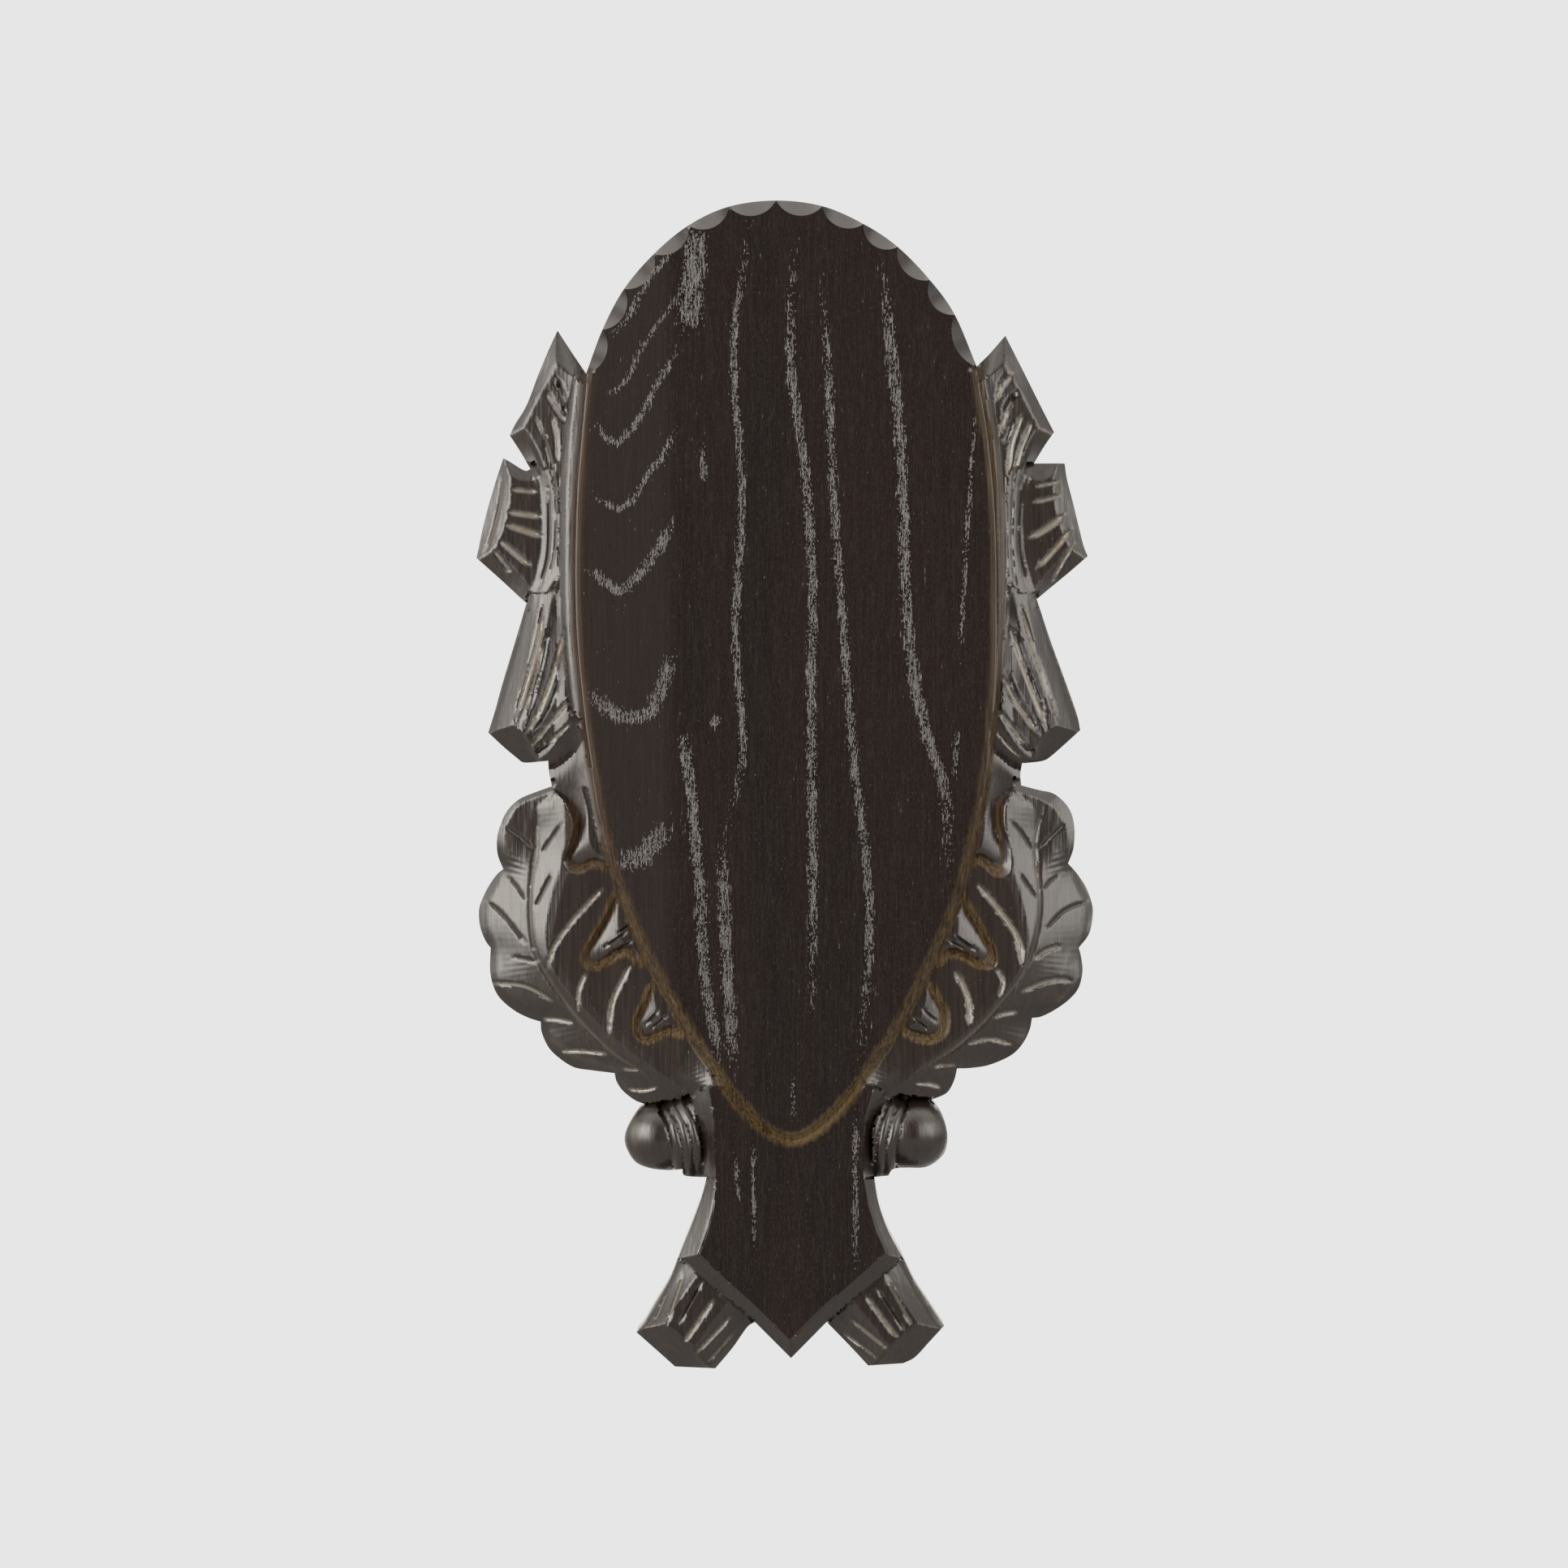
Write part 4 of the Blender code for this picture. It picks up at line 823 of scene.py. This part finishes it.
def mesh_points(loop, flat_loops, sheets):
    """Places of the front's vertices: the lines first, then an even fill that keeps off them."""
    rim = search_tree(loop)
    cell = 0.26
    taken = {}

    def accept(points, room):
        kept = []
        reach = range(-math.ceil(room / cell), math.ceil(room / cell) + 1)
        for x, z in points[inside(points, loop)]:
            i, k = int(x // cell), int(z // cell)
            near = (p for a in reach for b in reach for p in taken.get((i + a, k + b), ()))
            if any((px - x) ** 2 + (pz - z) ** 2 < room * room for px, pz in near):
                continue
            if rim.find((x, z, 0))[2] > room:
                taken.setdefault((i, k), []).append((x, z))
                kept.append((x, z))
        return kept

    z = np.arange(-130, 130, 0.6)
    kept = accept(np.column_stack([GLUE_X + GLUE_LEAN * z, z]), 0.22)
    for line in feature_lines(sheets):
        kept += accept(line, 0.2)
    for step, flat in ((FINE, False), (COARSE, True)):
        fill = grid(loop.min(0), loop.max(0), step, step / 2, step * 0.87)
        within = inside(fill, flat_loops[0]) | inside(fill, flat_loops[1])
        kept += accept(fill[within == flat], step * 0.72)
    return np.array(kept)


def triangulate(points, rings, edges=()):
    """Triangles of the area inside the rings, each ring a list of indices into the points."""
    result = delaunay_2d_cdt(
        [Vector(p) for p in points], list(edges), [list(ring) for ring in rings], 1, 1e-6, False
    )
    places = np.array([tuple(p) for p in result[0]])
    triangles = np.array([face for face in result[2] if len(face) == 3])
    a, b, c = (places[triangles[:, i]] for i in range(3))
    area = (b[:, 0] - a[:, 0]) * (c[:, 1] - a[:, 1]) - (b[:, 1] - a[:, 1]) * (c[:, 0] - a[:, 0])
    triangles[area < 0] = triangles[area < 0][:, ::-1]
    middle = places[triangles].mean(1)
    kept = np.zeros(len(triangles), bool)
    for ring in rings:
        kept |= inside(middle, np.array(points)[list(ring)])
    return places, triangles[kept & (np.abs(area) > 1e-7)]


def border(triangles):
    """Edges used by one triangle only, in its direction."""
    edges = np.vstack([triangles[:, [0, 1]], triangles[:, [1, 2]], triangles[:, [2, 0]]])
    keys = np.sort(edges, axis=1)
    _, first, count = np.unique(keys, axis=0, return_index=True, return_counts=True)
    return edges[first[count == 1]]


def chained(edges):
    """Closed loops of vertex indices, from directed edges."""
    after = {}
    for a, b in edges:
        after.setdefault(a, []).append(b)
    loops = []
    while after:
        loop, at = [], next(iter(after))
        while at in after:
            loop.append(at)
            following = after[at].pop()
            if not after[at]:
                del after[at]
            at = following
        loops.append(loop)
    return loops


def capsule(half_width, half_length, z, count=24):
    """Upright outline with round ends, counterclockwise."""
    turn = np.linspace(0, math.pi, count)
    reach = half_length - half_width
    top = np.column_stack([half_width * np.cos(turn), z + reach + half_width * np.sin(turn)])
    low = np.column_stack([-half_width * np.cos(turn), z - reach - half_width * np.sin(turn)])
    return np.vstack([top, low])


def at_height(places, height):
    """Points over the places, so high above the flat back."""
    return np.column_stack([places[:, 0], -height * np.ones(len(places)), places[:, 1]])


def back_parts(flat, ring, hollows):
    """The back and its hollows, as (points, triangles) parts."""
    loops = chained(ring)
    back = flat[np.concatenate(loops)]
    ends = np.cumsum([0, *map(len, loops)])
    rings = [range(a, b) for a, b in zip(ends, ends[1:])]
    rim = back[: ends[1]]
    fill = grid(rim.min(0), rim.max(0), 3.0, 0, 3.0)
    near = search_tree(back)
    fill = fill[[near.find((*p, 0))[2] > 1.2 for p in fill]]
    fill = fill[inside(fill, rim)]
    stock, edges = [back], []
    for shape, _ in hollows:
        base, i = sum(map(len, stock)), np.arange(len(shape))
        edges += (base + np.column_stack([i, np.roll(i, -1)])).tolist()
        stock.append(shape)
    spots, cover = triangulate(np.vstack([*stock, fill]), rings, edges)
    depth = np.zeros(len(cover))
    for shape, sunk in hollows:
        depth[inside(spots[cover].mean(1), shape)] = sunk
    parts = [(at_height(spots, d), cover[depth == d][:, ::-1]) for d in np.unique(depth)]
    above = 0.0
    for shape, sunk in hollows:
        i = np.arange(len(shape))
        k, n = np.roll(i, -1), len(shape)
        walls = [np.column_stack([i, k, i + n]), np.column_stack([k, k + n, i + n])]
        rows = [at_height(shape, above), at_height(shape, sunk)]
        parts.append((np.vstack(rows), np.vstack(walls)))
        above = sunk
    return parts


def welded(points, triangles):
    """Numbers of the points left once equal ones are merged, and the triangles between them."""
    _, first, index = np.unique(
        np.round(points * 500).astype(int), axis=0, return_index=True, return_inverse=True
    )
    triangles = index.reshape(-1)[triangles]
    a, b, c = triangles.T
    live, triangles = np.unique(triangles[(a != b) & (b != c) & (a != c)], return_inverse=True)
    return first[live], triangles.reshape(-1, 3)


def placed(name, data):
    """A new object in the scene."""
    obj = bpy.data.objects.new(name, data)
    bpy.context.scene.collection.objects.link(obj)
    return obj


def wood_piece(name, places, heights, marks, triangles, hollows):
    """Closed piece: carved front, sawn sides and flat back, with hollows sunk in the back."""
    used, compact = np.unique(triangles, return_inverse=True)
    flat, tall = places[used], heights[used]
    faces = [compact.reshape(-1, 3)]
    ring = border(faces[0])
    n = len(flat)
    for row in range(len(SIDE_ROWS) - 1):
        a, b = (ring + row * n).T
        faces += [np.column_stack([b, a, a + n]), np.column_stack([b, a + n, b + n])]
    body = np.vstack([at_height(flat, tall * share) for share in SIDE_ROWS])
    parts = [(body, np.vstack(faces)), *back_parts(flat, ring, hollows)]
    starts = np.cumsum([0, *(len(points) for points, _ in parts)])
    points = np.vstack([points for points, _ in parts])
    faces = np.vstack([own + start for (_, own), start in zip(parts, starts)])
    keep, faces = welded(points, faces)
    mesh = bpy.data.meshes.new(name)
    mesh.from_pydata((points[keep] * MM).tolist(), [], faces.tolist())
    for key, values in marks.items():
        full = np.full(len(points), 1.0 if key == "carved" else 0.0)
        full[:n] = values[used]
        attribute = mesh.attributes.new(key, "FLOAT", "POINT")
        attribute.data.foreach_set("value", full[keep].astype(np.float32))
    mesh.validate()
    mesh.shade_smooth()
    mesh.set_sharp_from_angle(angle=math.radians(40))
    return placed(name, mesh)


class Graph:
    """Short way of making and linking shader nodes."""

    def __init__(self, owner):
        owner.use_nodes = True
        self.owner, self.tree = owner, owner.node_tree
        self.tree.nodes.clear()

    def add(self, kind, settings=None, **inputs):
        """A new node's outputs. An input is named, or numbered as in i0."""
        made = self.tree.nodes.new(kind)
        for key, value in (settings or {}).items():
            setattr(made, key, value)
        for key, value in inputs.items():
            number = key[1:]
            named = key.replace("_", " ")
            socket = made.inputs[int(number) if key[0] == "i" and number.isdigit() else named]
            if isinstance(value, bpy.types.NodeSocket):
                self.tree.links.new(value, socket)
            else:
                socket.default_value = value
        return made.outputs

    def math(self, operation, *values, clamp=False):
        inputs = {f"i{n}": value for n, value in enumerate(values)}
        return self.add("ShaderNodeMath", {"operation": operation, "use_clamp": clamp}, **inputs)[0]

    def times(self, a, b, clamp=False):
        return self.math("MULTIPLY", a, b, clamp=clamp)

    def plus(self, a, b):
        return self.math("ADD", a, b)

    def ramp(self, value, low, high, to_low=0.0, to_high=1.0):
        return self.add("ShaderNodeMapRange", {"interpolation_type": "SMOOTHSTEP"}, i0=value,
                        i1=low, i2=high, i3=to_low, i4=to_high)[0]

    def mix(self, factor, a, b):
        """Mix of two colours, each a socket or three numbers."""
        a, b = ((*c, 1) if isinstance(c, tuple) else c for c in (a, b))
        return self.add("ShaderNodeMix", {"data_type": "RGBA"}, i0=factor, i6=a, i7=b)[2]

    def noise(self, vector, scale, detail=2.0, roughness=0.5):
        stretched = self.add("ShaderNodeMapping", i0=vector, i3=scale)[0]
        return self.add("ShaderNodeTexNoise", Vector=stretched, Scale=1.0, Detail=detail,
                        Roughness=roughness)[0]

    def mark(self, name):
        return self.add("ShaderNodeAttribute", {"attribute_name": name})["Fac"]

    def bump(self, strength, distance, height):
        return self.add("ShaderNodeBump", Strength=strength, Distance=distance, Height=height)[0]

    def surface(self, **inputs):
        """Ends the graph in a surface with these inputs, and returns its material."""
        shader = self.add("ShaderNodeBsdfPrincipled", **inputs)
        self.add("ShaderNodeOutputMaterial", Surface=shader[0])
        return self.owner


def oak():
    """Dark stained oak: greyed pores on the flat, golden hollows, and painted highlight and shade
    along the strokes.
    """
    g = Graph(bpy.data.materials.new("stained_oak_surface"))
    place = g.add("ShaderNodeTexCoord")["Object"]
    pore, gold, carved, painted_stroke_light = map(g.mark, ("pore", "gold", "carved", "painted_stroke_light"))
    across, _, height = g.add("ShaderNodeSeparateXYZ", Vector=place)
    broad = g.noise(place, (90, 90, 9), 2)
    tint = g.noise(place, (55, 55, 5), 1)
    fibre = g.noise(place, (2600, 2600, 70), 3, 0.6)
    dash = g.math("MAXIMUM", g.noise(place, (3300, 3300, 360), 2, 0.6),
                  g.noise(place, (3000, 3000, 1300), 1, 0.5))
    streak = g.noise(place, (1300, 1300, 60), 2, 0.55)
    streaked = g.ramp(streak, 0.3, 0.7)

    dark = g.mix(g.ramp(broad, 0.38, 0.62), (0.0082, 0.0048, 0.0043), (0.0118, 0.0060, 0.0052))
    dark = g.mix(g.ramp(tint, 0.4, 0.7, 0, 0.6), dark, (0.0130, 0.0064, 0.0052))
    dark = g.mix(g.ramp(fibre, 0.35, 0.75, 0, 0.35), dark, (0.0180, 0.0125, 0.0112))
    # The narrow board, left of the glue line, took the stain a little lighter
    dark = g.mix(g.ramp(across, -0.027, -0.022, 0.55, 0), dark, (0.0290, 0.0205, 0.0185))
    spread = g.math("MULTIPLY_ADD", pore, -0.24, 0.77)
    open_pore = g.times(g.math("SUBTRACT", dash, spread), 7.5, clamp=True)
    grey = g.mix(streaked, (0.021, 0.017, 0.0155), (0.052, 0.044, 0.039))
    dark = g.mix(g.ramp(dash, 0.5, 0.7, 0, 0.6), dark, (0.0270, 0.0205, 0.0180))
    stained = g.mix(open_pore, dark, grey)
    brown = g.mix(streaked, (0.0088, 0.0047, 0.0032), (0.0225, 0.0120, 0.0078))
    stained = g.mix(g.times(carved, 0.75), stained, brown)
    # Painted highlight along the strokes in a pale colour; below zero they are painted near black
    # (painted shade)
    light = g.mix(g.ramp(g.noise(place, (300, 300, 180), 1), 0.5, 0.72), (0.29, 0.262, 0.22),
                  (0.27, 0.20, 0.12))
    stained = g.mix(g.times(painted_stroke_light, 0.85, clamp=True), stained, light)
    stained = g.mix(g.times(painted_stroke_light, -0.9, clamp=True), stained, (0.0040, 0.0028, 0.0022))

    golden = g.mix(g.ramp(streak, 0.32, 0.66), (0.026, 0.0125, 0.0070), (0.090, 0.058, 0.025))
    golden = g.mix(g.ramp(fibre, 0.45, 0.7, 0, 0.7), golden, (0.170, 0.125, 0.062))
    # Painted highlight: brighter gold low down at the groove's point, right of the middle
    foot = g.times(g.ramp(height, -0.078, -0.060, 0.35, 0), g.ramp(across, -0.004, 0.006))
    golden = g.mix(foot, golden, (0.23, 0.165, 0.085))
    # Painted shade: darker gold higher up, most of all on the left
    shaded = g.times(g.ramp(height, -0.07, 0.02), g.ramp(across, -0.03, 0.05, 0.75, 0.35))
    golden = g.mix(shaded, golden, (0.042, 0.024, 0.017))
    colour = g.mix(g.times(gold, 0.92), stained, golden)

    rough = g.plus(g.ramp(fibre, 0.3, 0.7, 0.17, 0.25), g.times(open_pore, 0.2))
    depth = g.plus(g.times(open_pore, -1.0), g.times(fibre, 0.35))
    depth = g.plus(depth, g.times(g.times(streak, carved), 1.1))
    chip = g.noise(place, (420, 420, 160), 1)
    bump = g.bump(0.6, 0.00009, g.plus(depth, g.times(g.times(chip, carved), 2.6)))
    polish = g.math("MULTIPLY_ADD", gold, -0.8, 1.0, clamp=True)
    return g.surface(
        Base_Color=colour, Roughness=g.math("MULTIPLY_ADD", carved, 0.11, rough), Normal=bump,
        Coat_Weight=g.times(polish, 0.8), Coat_Normal=bump,
        Coat_Roughness=g.math("MULTIPLY_ADD", carved, 0.1, 0.11),
        Specular_IOR_Level=g.times(polish, 0.55),
    )


def zinc():
    """Brushed, slightly cloudy zinc plating."""
    g = Graph(bpy.data.materials.new("zinc_plate_surface"))
    place = g.add("ShaderNodeTexCoord")["Object"]
    brushed = g.noise(place, (9000, 900, 300), 2, 0.6)
    cloud = g.noise(place, (260, 260, 260), 3, 0.6)
    colour = g.mix(g.ramp(cloud, 0.3, 0.7), (0.44, 0.46, 0.49), (0.62, 0.62, 0.6))
    rough = g.plus(g.ramp(brushed, 0.3, 0.7, 0.26, 0.4), g.ramp(cloud, 0.4, 0.8, 0, 0.14))
    return g.surface(Base_Color=colour, Roughness=rough, Normal=g.bump(0.25, 0.00005, brushed),
                     Metallic=1.0)


def studio():
    """Soft light from both sides and above, a dim room in front, and a plain pale backdrop."""
    world = bpy.data.worlds.new("studio")
    bpy.context.scene.world = world
    g = Graph(world)
    x, y, z = g.add("ShaderNodeSeparateXYZ", Vector=g.add("ShaderNodeTexCoord")["Generated"])
    turn = g.math("ARCTAN2", g.math("ABSOLUTE", x), g.times(y, -1.0))
    side = g.ramp(turn, 0.3, 0.66)
    for fade in (
        g.ramp(turn, 0.9, 1.4, 1, 0.25), g.ramp(turn, 1.45, 2.1, 1, 0.1),
        g.ramp(x, -0.3, 0.3, 6.6, 3.8), g.ramp(z, -0.4, 0.12, 0.03, 1),
        g.ramp(z, 0.3, 0.65, 1, 0.1),
    ):
        side = g.times(side, fade)
    top = g.ramp(z, 0.4, 0.85, 0, 1.3)
    back = g.ramp(y, 0.2, 0.9, 0, 0.8)
    light = g.plus(g.plus(side, top), g.plus(back, 0.09))
    seen = g.add("ShaderNodeLightPath")["Is Camera Ray"]
    strength = g.plus(g.times(g.math("SUBTRACT", 1.0, seen), light), g.times(seen, BACKDROP))
    warm = g.mix(seen, (1, 0.965, 0.90), (1, 1, 1))
    shader = g.add("ShaderNodeBackground", Color=warm, Strength=strength)
    g.add("ShaderNodeOutputWorld", Surface=shader[0])


def floor():
    """Plain pale floor, far below the hanging plaque."""
    mesh = bpy.data.meshes.new("floor")
    corners = [(-3, -3, -1), (3, -3, -1), (3, 2, -1), (-3, 2, -1)]
    mesh.from_pydata(corners, [], [(0, 1, 2, 3)])
    paint = Graph(bpy.data.materials.new("floor_paint"))
    mesh.materials.append(paint.surface(Base_Color=(0.3, 0.3, 0.3, 1), Roughness=0.9))
    placed("floor", mesh)


def camera():
    """Square in front of the plaque."""
    data = bpy.data.cameras.new("camera")
    data.lens = 100
    data.sensor_width = 36
    obj = placed("camera", data)
    obj.location = (0, -0.949, 0)
    obj.rotation_euler = (math.pi / 2, 0, 0)
    bpy.context.scene.camera = obj


def plaque():
    """The three carved wooden pieces."""
    loop = edge_loop()
    oval = smooth(OVAL)
    # Closed above the plaque's top edge
    oval_loop = np.vstack([oval, [(41.2, 95), (38.5, 126), (-38, 126), (-42, 95)]])
    trunk_loop = np.array(TRUNK)
    sheets = relief_sheets()
    extra = mesh_points(loop, (oval_loop, trunk_loop), sheets)
    places, triangles = triangulate(np.vstack([loop, extra]), [range(len(loop))])
    field = covers(places, oval_loop) | covers(places, trunk_loop)
    heights, gold, painted_stroke_light = carve(places, field, sheets)
    marks = {
        "pore": pore_level(places, field), "gold": gold, "painted_stroke_light": painted_stroke_light, "carved": 1.0 - field,
    }
    # The outlines are as they look from in front, so whatever lies deeper is a little larger
    places = places * (1 + (THICKNESS - heights) / EYE_DISTANCE)[:, None]
    middle = places[triangles].mean(1)
    left = middle[:, 0] < GLUE_X + GLUE_LEAN * middle[:, 1]
    low = middle[:, 1] < FOOT_TOP
    hollows = [(capsule(*shape, HANGER_Z), sunk) for *shape, sunk in HANGER_HOLLOWS]
    surface = oak()
    for name, node, own, sunk in (
        ("oak_stave_narrow", "stave_narrow", left & ~low, ()),
        ("oak_stave_foot", "stave_narrow_foot", left & low, ()),
        ("oak_stave_wide", "stave_wide", ~left, hollows),
    ):
        piece = wood_piece(name, places, heights, marks, triangles[own], sunk)
        piece.data.materials.append(surface)
        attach(piece, "root")
        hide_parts(node)


def main():
    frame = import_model()
    plaque()
    steel = zinc()
    for name in ("hanger_plate", "hanger_screw_top", "hanger_screw_bottom"):
        for material_slot in frame["nodes"][name].material_slots:
            material_slot.material = steel
    studio()
    floor()
    camera()
    bpy.context.scene.view_settings.view_transform = "Standard"


main()
